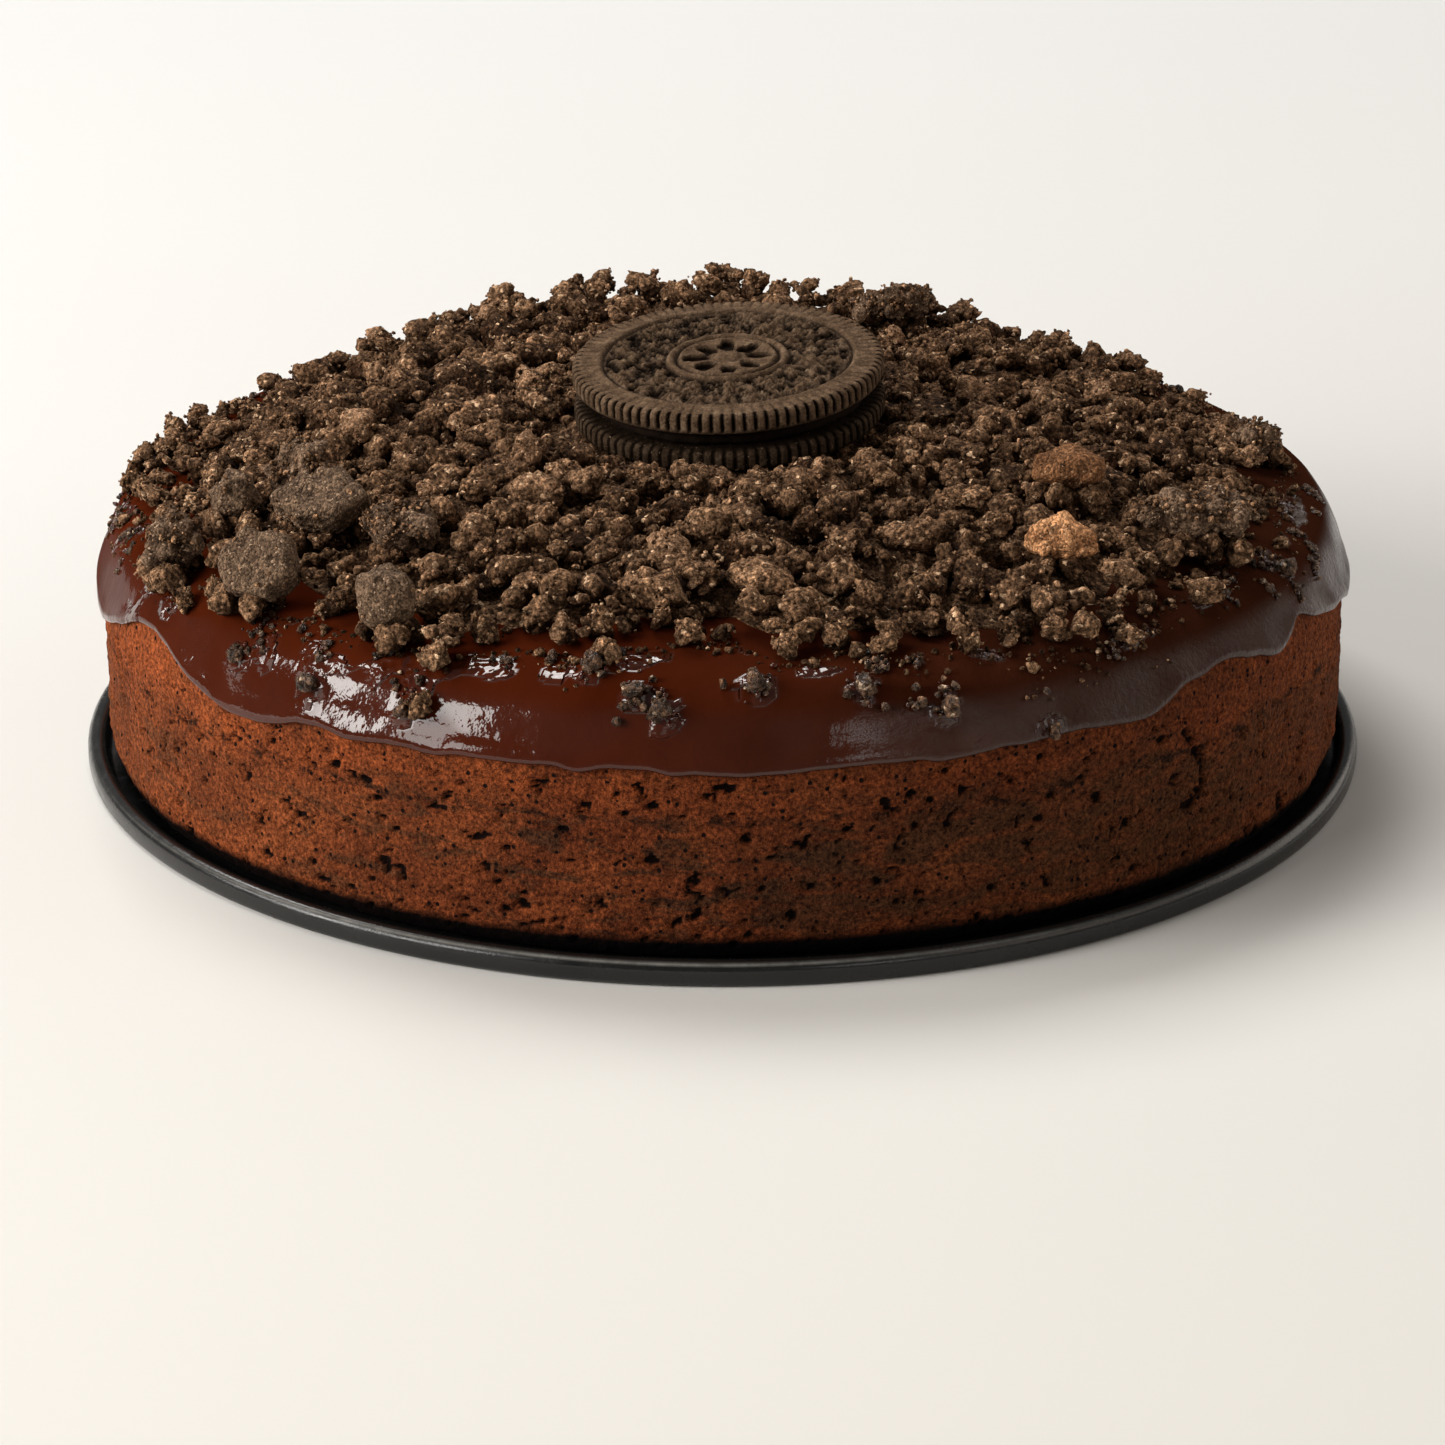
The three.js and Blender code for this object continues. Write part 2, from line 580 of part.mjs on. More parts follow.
// The glaze with its loose crumbs, leaving out any that would touch a clump of the heap.
function glaze(clumps) {
  const random = seededRandom(LOOSE_CRUMB_SEED);
  let solid = toSolid(glazeShell());
  LOOSE_CRUMBS.forEach((crumb) => {
    const shape = looseCrumb(random, crumb);
    const reach = Math.hypot(crumb.x, crumb.y) - crumb.size / 2;
    const azimuth = Math.atan2(crumb.y, crumb.x);
    const meetsCore = reach < heapRadius(azimuth) + CONTACT_GAP;
    const meetsClump = clumps.some((clump) => {
      const between = Math.hypot(clump.x - crumb.x, clump.y - crumb.y);
      return between < (clump.size + crumb.size) / 2 + CONTACT_GAP;
    });
    if (!meetsCore && !meetsClump) {
      solid = solid.add(toSolid(shape));
    }
  });
  return toGeometry(solid);
}

// A wafer blank: a disc with a ribbed rim and rounded edges, its underside at height 0.
function ribbedWafer() {
  const corners = Array.from({ length: 2 * WAFER_RIBS }, (unused, step) => {
    const angle = (step * Math.PI) / WAFER_RIBS;
    const radius = COOKIE_RADIUS - (step % 2) * RIB_DEPTH;
    return new THREE.Vector2(radius * Math.cos(angle), radius * Math.sin(angle));
  });
  const geometry = new THREE.ExtrudeGeometry(new THREE.Shape(corners), {
    depth: WAFER_THICKNESS - 2 * WAFER_EDGE_ROUNDING,
    bevelSize: WAFER_EDGE_ROUNDING,
    bevelOffset: -WAFER_EDGE_ROUNDING,
    bevelThickness: WAFER_EDGE_ROUNDING,
    bevelSegments: 1,
  });
  geometry.translate(0, 0, WAFER_EDGE_ROUNDING);
  return closedMesh(geometry);
}

// The sunk band round the middle of the upper wafer's face.
function sunkBand() {
  const floor = WAFER_THICKNESS - BAND_DEPTH;
  const above = WAFER_THICKNESS + BAND_DEPTH;
  const profile = [
    [BAND_INNER_RADIUS, floor],
    [BAND_OUTER_RADIUS, floor],
    [BAND_OUTER_RADIUS + 2 * BAND_DEPTH, above],
    [BAND_INNER_RADIUS - 2 * BAND_DEPTH, above],
    [BAND_INNER_RADIUS, floor],
  ].map(([radius, height]) => new THREE.Vector2(radius, height));
  const geometry = new THREE.LatheGeometry(profile, BAND_SEGMENTS);
  geometry.rotateX(Math.PI / 2);
  return closedMesh(geometry);
}

// One of the rosette's short slots, pointing out from the middle of the face.
function rosetteSlot(number) {
  const geometry = new THREE.CylinderGeometry(0.5, 0.5 * SLOT_TAPER, 2 * SLOT_DEPTH, SLOT_SEGMENTS);
  geometry.rotateX(Math.PI / 2);
  geometry.scale(SLOT_LENGTH, SLOT_WIDTH, 1);
  geometry.translate(ROSETTE_RADIUS, 0, WAFER_THICKNESS);
  geometry.rotateZ((number * 2 * Math.PI) / ROSETTE_SLOTS);
  return closedMesh(geometry);
}

function upperWafer() {
  let solid = toSolid(ribbedWafer()).subtract(toSolid(sunkBand()));
  for (let slot = 0; slot < ROSETTE_SLOTS; slot += 1) {
    solid = solid.subtract(toSolid(rosetteSlot(slot)));
  }
  return toGeometry(solid);
}

function cookieFilling() {
  const geometry = new THREE.CylinderGeometry(
    FILLING_RADIUS,
    FILLING_RADIUS,
    FILLING_THICKNESS,
    FILLING_SEGMENTS,
  );
  geometry.rotateX(Math.PI / 2);
  return closedMesh(geometry.translate(0, 0, FILLING_THICKNESS / 2));
}

function namedMesh(name, geometry, material) {
  const mesh = new THREE.Mesh(geometry, material);
  mesh.name = name;
  return mesh;
}

// Two ribbed wafers with a filling between them, stacked up from the cookie's underside.
function sandwichCookie() {
  const group = new THREE.Group();
  const lower = namedMesh('cookie_lower_wafer', ribbedWafer(), MATERIALS.wafer);
  const filling = namedMesh('cookie_filling', cookieFilling(), MATERIALS.filling);
  filling.position.z = WAFER_THICKNESS + CONTACT_GAP;
  const upper = namedMesh('cookie_upper_wafer', upperWafer(), MATERIALS.wafer);
  upper.position.z = filling.position.z + FILLING_THICKNESS + CONTACT_GAP;
  group.add(lower, filling, upper);
  group.position.set(COOKIE_PLACE.x, COOKIE_PLACE.y, COOKIE_PLACE.z);
  group.rotation.set(COOKIE_TIP, -COOKIE_LEAN, 0);
  group.updateMatrix();
  return group;
}

const cookie = sandwichCookie();
const fragmentRandom = seededRandom(FRAGMENT_SEED);
const fragments = FRAGMENTS.map((piece) => layFragment(fragmentRandom, piece));
fragments.forEach(({ mesh }, number) => {
  mesh.name = `${FRAGMENTS[number].kind}_fragment_${number + 1}`;
});
const clumps = heapClumps(seededRandom(CLUMP_SEED), FRAGMENTS);
const pockets = [cookieSeat(cookie.matrix), ...fragments.map(({ pocket }) => pocket)];

const cake = new THREE.Group();
cake.add(
  namedMesh('tin_base', tinBase(), MATERIALS.tin),
  namedMesh('sponge', sponge(), MATERIALS.sponge),
  namedMesh('glaze', glaze(clumps), MATERIALS.glaze),
  namedMesh('crumb_topping', crumbTopping(clumps, pockets), MATERIALS.crumbs),
  ...fragments.map(({ mesh }) => mesh),
  cookie,
);

export default cake;
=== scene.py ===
# A round chocolate cake on the black base plate of its springform tin: porous sponge, a glossy glaze with
# a wavy lower edge, a heap of crushed cookies and one whole sandwich cookie on top. Shapes are worked out in
# millimetres in the frame's own axes, with the front towards -Y, and turned into metres when a mesh is made.

import itertools
import math

import bmesh
import bpy
import numpy as np
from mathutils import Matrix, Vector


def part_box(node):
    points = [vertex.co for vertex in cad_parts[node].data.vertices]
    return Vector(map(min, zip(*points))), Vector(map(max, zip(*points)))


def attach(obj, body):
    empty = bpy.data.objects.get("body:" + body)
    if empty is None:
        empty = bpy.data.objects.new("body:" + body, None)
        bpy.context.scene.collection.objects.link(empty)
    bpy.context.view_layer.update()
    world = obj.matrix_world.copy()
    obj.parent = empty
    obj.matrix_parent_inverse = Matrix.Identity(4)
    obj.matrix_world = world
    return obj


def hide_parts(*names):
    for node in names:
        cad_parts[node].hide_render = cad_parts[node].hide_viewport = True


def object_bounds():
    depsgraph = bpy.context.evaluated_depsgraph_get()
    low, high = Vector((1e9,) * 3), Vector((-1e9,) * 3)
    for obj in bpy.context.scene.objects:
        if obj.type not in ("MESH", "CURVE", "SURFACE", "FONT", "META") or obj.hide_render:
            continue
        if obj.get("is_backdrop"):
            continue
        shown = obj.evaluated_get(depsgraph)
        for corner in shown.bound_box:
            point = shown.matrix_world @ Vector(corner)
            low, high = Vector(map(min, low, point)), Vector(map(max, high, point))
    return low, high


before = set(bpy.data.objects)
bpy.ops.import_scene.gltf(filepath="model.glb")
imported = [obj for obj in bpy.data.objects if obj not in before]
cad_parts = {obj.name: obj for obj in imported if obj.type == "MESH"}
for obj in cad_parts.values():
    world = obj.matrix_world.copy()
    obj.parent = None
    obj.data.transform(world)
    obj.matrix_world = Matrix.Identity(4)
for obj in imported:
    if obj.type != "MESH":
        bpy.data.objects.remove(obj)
cad_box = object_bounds()

MM = 0.001
DEGREE = math.pi / 180

# Camera
LENS = 105
SENSOR_WIDTH = 36
CAMERA_DISTANCE = 617.9
CAMERA_ELEVATION = 21.19 * DEGREE
CAMERA_PITCH = 21.15 * DEGREE

# Base plate of the tin
TIN_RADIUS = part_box("tin_base")[1].x / MM
TIN_PLATE_THICKNESS = 1.0
TIN_BEAD_WIDTH = 2.8
TIN_BEAD_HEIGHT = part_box("tin_base")[1].z / MM
TIN_COLUMNS = 240
HIGHLIGHT_LINE_DEPTH = 0.36

# Skins of the cake: middle and level place the centre of the shoulder's arc, top is the height on the axis
SHOULDER_SWEEP = 81 * DEGREE
SPONGE_SKIN = {"middle": 78.1, "level": 27.0, "arc": 10.3, "top": 42.9}
GLAZE_SKIN = {"middle": 78.4, "level": 28.2, "arc": 10.65, "top": 44.5}
SPONGE_SIDE = SPONGE_SKIN["middle"] + SPONGE_SKIN["arc"]
SPONGE_FOOT_HEIGHT = 1.3
SPONGE_FOOT_INSET = 4.6
SPONGE_FOOT_ROUNDING = 4.8
OUT_OF_ROUND = 0.35

# Sponge
SPONGE_COLUMNS = 1150
SPONGE_GRAIN = 0.2
SEAM_LEVEL = 21.3
PORE_COUNT = 1300
CRACK_COUNT = 150
CRACK_STEP = 0.5
TORN_CRACK = (-46 * DEGREE, 17)
PORE_SEED = 3

# Glaze
GLAZE_COLUMNS = 800
GLAZE_EDGE_HEIGHT = 27.7
GLAZE_LIP = 0.5
GLAZE_BEAD = 1.05
GLAZE_BEAD_REACH = 1.7
GLAZE_FILM = 0.5
GLAZE_THICKNESS = 1.6
GLAZE_THICKENS_AT = 18 * DEGREE
GLAZE_FULL_AT = 62 * DEGREE
GLAZE_WAVE = 0.22
GLAZE_RIPPLE = 0.07
GLAZE_BRIM = 89.0
GLOSS = 0.9
GLOSS_LOBES = [(180, 22, -0.85), (-42, 18, -0.4)]
GLOSS_FADES = (0.6, 0.8)
LIP_GLOSS = 0.9
WETTER_LOBE = [(-118, 20, 0.45)]
RIPPLE_REACH = 0.75
RIPPLE_STARTS = 0.35
GLAZE_EDGE_LOBES = [
    (-166, 6, -2.4), (-151, 5, 3.4), (-135, 4, -1.9), (-116, 4, -0.5), (-103, 4, 0.4), (-60, 9, 0.6),
    (-42, 5, 3.4), (-27, 5, 3.2), (-3, 8, -1.6), (21, 6, 1.8), (44, 8, -2.2), (66, 5, 2.0),
    (88, 7, -1.7), (109, 5, 2.3), (131, 7, -2.1), (156, 6, 1.7),
]

# Heap of crushed cookies: how far out it reaches, in tongues and bays, and how deep it is at its edge
HEAP_RADIUS = 81.5
HEAP_LOBES = [
    (-92, 9, -5.5), (-115, 3, 3.5), (-53, 8, 2.5), (-27, 8, -1.5), (-142, 13, 2.6), (-178, 13, 4.0),
    (40, 30, -2.6), (100, 12, 1.4), (153, 14, -0.9),
]
HEAP_RAGGEDNESS = 1.9
HEAP_DEPTH = 5.6
HEAP_EDGE_DEPTH = 4.6
HEAP_EDGE_LOBES = [(88, 27, 4.6), (162, 11, -2.0), (-172, 12, -0.6), (14, 10, -1.2), (30, 9, 1.0)]
HEAP_UNEVENNESS = 0.9
DEPTH_AT_COOKIE = 2.1
BED_COLUMNS = 640
BED_ROWS = 140
BED_SHARE = 0.25
BED_BACK_SHARE = 0.5
BED_RELIEF = 0.7
BED_MARGIN = 9.0
BED_BACK_MARGIN = 4.5
BED_EDGE = 6.0
PILE_CELL = 0.5
PILE_REACH = 92.0
PILE_SMOOTHING = 50
TALLEST_BURIED = 0.45
NOT_OVER = -100
HEAP_SEED = 7

# Loose crumbs stuck to the bare glaze: x, y and size
LOOSE_CRUMBS = [
    (-62.9, -60.7, 3.4), (-52.5, -70.2, 3.8), (-40.2, -78.0, 3.2), (-16.2, -79.6, 4.2), (-7.8, -86.0, 4.4),
    (-10.9, -84.2, 3.4), (4.2, -83.6, 3.8), (17.6, -82.6, 3.4), (28.2, -82.2, 3.2), (41.6, -78.2, 3.0),
    (75.6, -38.0, 3.2),
]

# Paler crumbs that lie on top of the heap: x, y, size and tone from 0 for brown to 1 for tan
PALE_CRUMBS = [
    (-72.8, 30.7, 4.6, 0.5), (-63.2, 46.7, 5.4, 0.4), (-53.2, 57.4, 6.0, 0.6), (-51.6, -6.0, 7.4, 0.6),
    (-35.9, 53.9, 6.0, 0.4), (-27.6, 12.2, 4.0, 0.9), (-39.7, -31.6, 4.4, 1.0), (-6.9, -53.4, 5.8, 0.5),
    (36.5, 8.9, 7.2, 0.35), (54.1, 11.9, 5.6, 0.5), (-26.5, -24.6, 6.6, 0.2), (26.0, 44.0, 5.4, 0.4),
]

# Crumbs at the ragged front and left edge of the heap: x, y, size and tone
EDGE_CRUMBS = [
    (-36.0, -75.5, 5.4, 0.3), (-37.6, -79.0, 4.4, 0.25), (-14.8, -78.0, 5.6, 0.4), (-4.1, -73.7, 5.4, 0.45),
    (-23.4, -68.1, 7.0, 0.35), (-20.0, -72.5, 5.0, 0.3), (8.0, -76.5, 4.6, 0.3), (20.5, -75.5, 4.8, 0.35),
    (31.0, -72.5, 5.4, 0.2), (42.5, -69.5, 5.2, 0.25), (52.0, -66.0, 4.6, 0.2), (62.8, -53.3, 6.0, 0.25),
    (-66.5, -50.0, 4.8, 0.3), (-70.5, -48.5, 4.2, 0.35), (-30.0, -71.0, 5.0, 0.3),
    (-76.0, -24.0, 5.0, 0.25), (-79.0, -14.0, 5.2, 0.25), (-83.5, -4.0, 4.8, 0.2), (-84.0, 2.0, 4.0, 0.25),
    (-82.5, 8.0, 5.0, 0.25), (-80.0, 16.0, 5.5, 0.3), (-77.5, 24.0, 5.0, 0.25), (-81.0, -9.0, 4.4, 0.3),
]

# Big pieces of the heap, with the kind of broken surface of each. The first six are flat wafers.
WAFER_FRAGMENTS = 6
FRAGMENT_KINDS = [
    "shard", "shard", "rough", "rough", "rough", "rough",
    "shard", "rough", "almond", "peanut", "shard", "rough",
]
FRAGMENT_VOXEL = 0.3
# Painted shade and highlight on crumbs: the tone darkens gaps and creases and lightens tips and bumps
PAINTED_SHADE_OF_CRAGS = 0.22
PAINTED_SHADE_OF_EXPOSURE = 0.3
GRAIN_REACH = 1.5
UNDER_COUNT = 14
UNDER_GAP = 0.8

# Whole cookie
COOKIE_RADIUS = 22.2
COOKIE_PLACE = (1.1, 1.5, 47.4)
COOKIE_TIP = 5.5 * DEGREE
COOKIE_LEAN = 2.6 * DEGREE
WAFER_THICKNESS = 3.0
WAFER_RIBS = 90
RIB_DEPTH = 0.5
WAFER_COLUMNS = 8 * WAFER_RIBS
WAFER_EDGE_ROUNDING = 0.9
FILLING_RADIUS = 20.1
FILLING_THICKNESS = 2.0
FILLING_COLUMNS = 240
COOKIE_GAP = 0.3
BAND_INNER_RADIUS = 8.9
BAND_OUTER_RADIUS = 17.3
BAND_DEPTH = 0.25
BAND_ROUGHNESS = 0.48
ROSETTE_SLOTS = 8
ROSETTE_RADIUS = 4.5
SLOT_LENGTH = 3.8
SLOT_WIDTH = 2.3
SLOT_DEPTH = 0.9

# Rings on the cookie's face: radius, half width and height
FACE_RINGS = [
    (17.7, 0.25, -0.5), (18.4, 0.5, 0.15), (8.9, 0.25, -0.35), (8.2, 0.35, 0.25), (7.3, 0.28, -0.55),
    (6.7, 0.25, 0.2), (1.9, 0.25, -0.3),
]

# Soft lamps round the cake: name, azimuth, elevation, distance, size, power, colour, whether it is mirrored
WINDOW_COLOUR = (1, 0.97, 0.93)
LAMPS = [
    ("window_left", -179, 20, 1.1, (0.08, 0.2), 1.0, WINDOW_COLOUR, True),
    ("window_middle", -161, 20, 1.1, (0.24, 0.32), 3.9, WINDOW_COLOUR, True),
    ("window_front", -139, 20, 1.1, (0.27, 0.32), 3.2, WINDOW_COLOUR, True),
    ("window_glow", -162, 25, 1.1, (0.6, 0.6), 10.5, WINDOW_COLOUR, False),
    ("front_patch", -65, 20, 1.1, (0.2, 0.2), 0.4, (1, 0.98, 0.96), True),
    ("overhead", 120, 55, 2.0, (1.2, 0.9), 35, (1, 0.985, 0.96), True),
    ("right_sheen", -28, 28, 1.6, (1.2, 0.7), 2.3, (1, 0.84, 0.71), True),
    ("right_back", 30, 22, 1.6, (1.6, 0.8), 4.6, (1, 0.9, 0.8), True),
    ("right_low", -8, 8, 1.5, (0.5, 0.4), 4.6, (1, 0.95, 0.89), False),
]
LAMP_AIM_HEIGHT = 0.03
FLOOR_REACH = 6.0
WORLD_COLOUR = (1.0, 0.99, 0.975, 1)
WORLD_STRENGTH = 0.13


# Noise and small sums

def cell_value(cell, seed):
    """A steady draw from -1 to 1 for each whole-numbered cell."""
    mixed = cell[..., 0] * 73856093 ^ cell[..., 1] * 19349663 ^ cell[..., 2] * 83492791 ^ seed * 40503
    mixed = (mixed ^ (mixed >> 13)) * 1274126177
    mixed = (mixed ^ (mixed >> 16)) * 668265263
    return ((mixed ^ (mixed >> 15)) & 0xFFFF) / 32767.5 - 1


def smooth_noise(points, size, seed):
    """Noise from -1 to 1 at each point, with lumps about one size across."""
    scaled = points / size
    cell = np.floor(scaled).astype(np.int64)
    part = scaled - cell
    part = part * part * (3 - 2 * part)
    total = np.zeros(points.shape[:-1])
    for corner in itertools.product((0, 1), repeat=3):
        weight = np.where(corner, part, 1 - part).prod(axis=-1)
        total += weight * cell_value(cell + np.array(corner), seed)
    return total


def layered_noise(points, size, seed, layers=3, fade=0.5):
    """Sum of noises, each half the size of the last and fainter by the fade."""
    return sum(
        fade ** layer * smooth_noise(points, size * 0.5 ** layer, seed + layer) for layer in range(layers)
    )


def billows(points, size, seed, layers=3, fade=0.5):
    """Rounded bumps with sharp creases between them, from about -1 to 1."""
    return sum(
        fade ** layer * (2.6 * np.abs(smooth_noise(points, size * 0.5 ** layer, seed + layer)) - 0.8)
        for layer in range(layers)
    )


def smooth_step(value, low, high):
    part = np.clip((value - low) / (high - low), 0, 1)
    return part * part * (3 - 2 * part)


def stacked(*parts):
    """The parts side by side along a new last axis."""
    return np.stack(np.broadcast_arrays(*parts), axis=-1)


def polar(radius, azimuth, height=0.0):
    """Points at a radius and an azimuth about the cake's axis."""
    return stacked(radius * np.cos(azimuth), radius * np.sin(azimuth), height)


def short_way(turn):
    """A turn brought to within half a round either way."""
    return np.arctan2(np.sin(turn), np.cos(turn))


def lobes_at(azimuth, lobes):
    """Sum of smooth lobes round the rim, each with its place and width in degrees and its size."""
    total = np.zeros_like(azimuth)
    for at, width, size in lobes:
        away = short_way(azimuth - at * DEGREE) / DEGREE
        total += size * np.exp(-0.5 * (away / width) ** 2)
    return total


def out_of_round(azimuth):
    """The share by which the cake's side departs from a true circle."""
    slow = np.sin(2 * azimuth + 0.7) + 0.6 * np.sin(3 * azimuth + 2.1)
    return 1 + OUT_OF_ROUND * (0.6 * slow + 0.25 * np.sin(7 * azimuth + 1.3)) / SPONGE_SIDE


def dome_rim(skin):
    """Radius and height where a skin's shoulder arc meets its dome."""
    return (
        skin["middle"] + skin["arc"] * math.cos(SHOULDER_SWEEP),
        skin["level"] + skin["arc"] * math.sin(SHOULDER_SWEEP),
    )


def skin_height(skin, radius):
    rim_radius, rim_height = dome_rim(skin)
    dome = skin["top"] - (skin["top"] - rim_height) * (radius / rim_radius) ** 2
    across = np.clip(radius - skin["middle"], 0, skin["arc"])
    shoulder = skin["level"] + np.sqrt(skin["arc"] ** 2 - across ** 2)
    return np.where(radius <= rim_radius, dome, shoulder)


def coat_thickness(angle):
    """Thickness of the glaze at an angle up the sponge's shoulder: thin where it drained, thick on top."""
    return GLAZE_FILM + (GLAZE_THICKNESS - GLAZE_FILM) * smooth_step(angle, GLAZE_THICKENS_AT, GLAZE_FULL_AT)


def coat_point(angle, thickness):
    """Radius and height of the glaze's outer skin at an angle up the sponge's shoulder."""
    reach = SPONGE_SKIN["arc"] + thickness
    return SPONGE_SKIN["middle"] + reach * np.cos(angle), SPONGE_SKIN["level"] + reach * np.sin(angle)


SHOULDER_ANGLES = np.linspace(SHOULDER_SWEEP, 0, 80)
SHOULDER_RADII, SHOULDER_HEIGHTS = coat_point(SHOULDER_ANGLES, coat_thickness(SHOULDER_ANGLES))


def glaze_height(radius):
    """Height of the glaze's outer skin at a radius."""
    on_shoulder = np.interp(radius, SHOULDER_RADII, SHOULDER_HEIGHTS)
    return np.where(radius <= SHOULDER_RADII[0], skin_height(GLAZE_SKIN, radius), on_shoulder)


def glaze_normal(x, y):
    """Unit vectors that point straight out of the glaze."""
    radius = np.maximum(np.hypot(x, y), 1e-6)
    rim_radius, rim_height = dome_rim(GLAZE_SKIN)
    slope = 2 * (GLAZE_SKIN["top"] - rim_height) * radius / rim_radius ** 2
    on_shoulder = math.pi / 2 - np.interp(radius, SHOULDER_RADII, SHOULDER_ANGLES)
    lean = np.where(radius <= SHOULDER_RADII[0], np.arctan(slope), on_shoulder)
    return stacked(np.sin(lean) * x / radius, np.sin(lean) * y / radius, np.cos(lean))


def heap_radius(azimuth):
    """How far out the heap reaches: listed tongues and bays, with a ragged edge."""
    ragged = HEAP_RAGGEDNESS * layered_noise(polar(80, azimuth), 9, 141, 3, 0.7)
    return HEAP_RADIUS + lobes_at(azimuth, HEAP_LOBES) + ragged


# Meshes

def add_object(name, data):
    made = bpy.data.objects.new(name, data)
    bpy.context.scene.collection.objects.link(made)
    return made


def make_piece(name, points, faces, material, slot, stands_for=(), smooth=True, tone=None):
    """A piece of the cake from points in millimetres and rows of point numbers."""
    mesh = bpy.data.meshes.new(name)
    mesh.from_pydata((points * MM).tolist(), [], faces.tolist())
    if smooth:
        mesh.shade_smooth()
    if tone is not None:
        layer = mesh.attributes.new("tone", "FLOAT", "POINT")
        layer.data.foreach_set("value", tone.astype(np.float32).ravel())
    mesh.materials.append(material)
    mesh.update()
    piece = add_object(name, mesh)
    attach(piece, "root")
    if stands_for:
        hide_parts(*stands_for)


def azimuths(columns):
    return -math.pi / 2 + np.arange(columns) * 2 * math.pi / columns


def swept(profile, columns):
    """Rows of radius and height from a profile, the same all the way round."""
    return np.repeat(profile[:, :1], columns, axis=1), np.repeat(profile[:, 1:], columns, axis=1)


def row_points(radius, height):
    """The points of turned rings, row by row."""
    return polar(radius, azimuths(radius.shape[1]), height)


def turned(radius, height):
    """A closed surface about the Z axis: rings of points, row by row from its first pole to its last."""
    rows, columns = radius.shape
    poles = np.array([[0, 0, height[0].mean()], [0, 0, height[-1].mean()]])
    points = np.concatenate([row_points(radius, height).reshape(-1, 3), poles])
    column = np.arange(columns)
    after = (column + 1) % columns
    first = (np.arange(rows - 1) * columns)[:, None]
    low, low_next = first + column, first + after
    high, high_next = low + columns, low_next + columns
    sides = stacked(low, low_next, high_next, low, high_next, high).reshape(-1, 3)
    last = (rows - 1) * columns
    start_cap = stacked(rows * columns, after, column)
    end_cap = stacked(rows * columns + 1, last + column, last + after)
    return points, np.concatenate([sides, start_cap, end_cap])


def turned_piece(name, radius, height, material, slot, node, tone=None, lift=None):
    """A piece made of turned rings. With a lift it is placed with the whole cookie, so far up in it."""
    points, faces = turned(radius, height)
    if lift is not None:
        points = on_cookie(points, lift)
    if tone is not None:
        tone = np.append(tone.ravel(), [0, 0])
    make_piece(name, points, faces, material, slot, [node], tone=tone)


def arc_points(middle, size, start, end, count):
    """Points on an arc of an ellipse in the plane of radius and height. The angles are in degrees."""
    angle = np.linspace(start, end, count) * DEGREE
    return stacked(middle[0] + size[0] * np.cos(angle), middle[1] + size[1] * np.sin(angle))


def line_points(start, end, count):
    """Points on a straight line, without its end."""
    part = np.arange(count)[:, None] / count
    return np.array(start) * (1 - part) + np.array(end) * part


def ball(count):
    """Points spread evenly over a ball of radius 1, and the triangles between them."""
    step = np.arange(count) + 0.5
    rise = 1 - 2 * step / count
    shape = bmesh.new()
    for point in polar(np.sqrt(1 - rise ** 2), step * math.pi * (3 - math.sqrt(5)), rise):
        shape.verts.new(point)
    bmesh.ops.convex_hull(shape, input=shape.verts)
    shape.verts.index_update()
    points = np.array([vertex.co[:] for vertex in shape.verts])
    faces = np.array([[vertex.index for vertex in face.verts] for face in shape.faces])
    shape.free()
    corners = points[faces]
    facing = np.cross(corners[:, 1] - corners[:, 0], corners[:, 2] - corners[:, 0])
    inward = (facing * corners.mean(axis=1)).sum(axis=1) < 0
    faces[inward] = faces[inward][:, ::-1]
    return points, faces


# Node materials

class Wire:
    """The output of a material's node. Its sums and products with wires and numbers are nodes as well."""

    def __init__(self, tree, socket):
        self.tree, self.socket = tree, socket

    def maths(self, operation, first, second):
        return add_node(self.tree, "ShaderNodeMath", "Value", {0: first, 1: second}, operation=operation)

    def __add__(self, other):
        return self.maths("ADD", self, other)

    def __sub__(self, other):
        return self.maths("SUBTRACT", self, other)

    def __rsub__(self, other):
        return self.maths("SUBTRACT", other, self)

    def __mul__(self, other):
        return self.maths("MULTIPLY", self, other)

    def __pow__(self, other):
        return self.maths("POWER", self, other)

    def __abs__(self):
        return self.maths("ABSOLUTE", self, 0.0)

    def at_least(self, other):
        return self.maths("MAXIMUM", self, other)

    def at_most(self, other):
        return self.maths("MINIMUM", self, other)

    def spread(self, low, high, to_low=0.0, to_high=1.0):
        """The value stretched from one range to another, and held within it."""
        inputs = {"Value": self, "From Min": low, "From Max": high, "To Min": to_low, "To Max": to_high}
        return add_node(self.tree, "ShaderNodeMapRange", "Result", inputs)

    def ramp(self, *stops):
        """Colours along the value: each stop is a place from 0 to 1 and a colour."""
        made = add_node(self.tree, "ShaderNodeValToRGB", "Color", {"Fac": self})
        elements = made.socket.node.color_ramp.elements
        while len(elements) < len(stops):
            elements.new(0.5)
        for element, (position, colour) in zip(elements, stops):
            element.position = position
            element.color = (*colour, 1)
        return made

    def mixed(self, amount, colour):
        return mix(self.tree, amount, self, colour)

    def shaded(self, colour, amount=1.0):
        """The colour multiplied by another."""
        return mix(self.tree, amount, self, colour, "MULTIPLY")


def plug(tree, socket, value):
    """Gives an input a wire, a colour of three numbers or a steady value."""
    if isinstance(value, Wire):
        tree.links.new(value.socket, socket)
    elif socket.type == "RGBA":
        socket.default_value = (*value, 1)
    else:
        socket.default_value = value


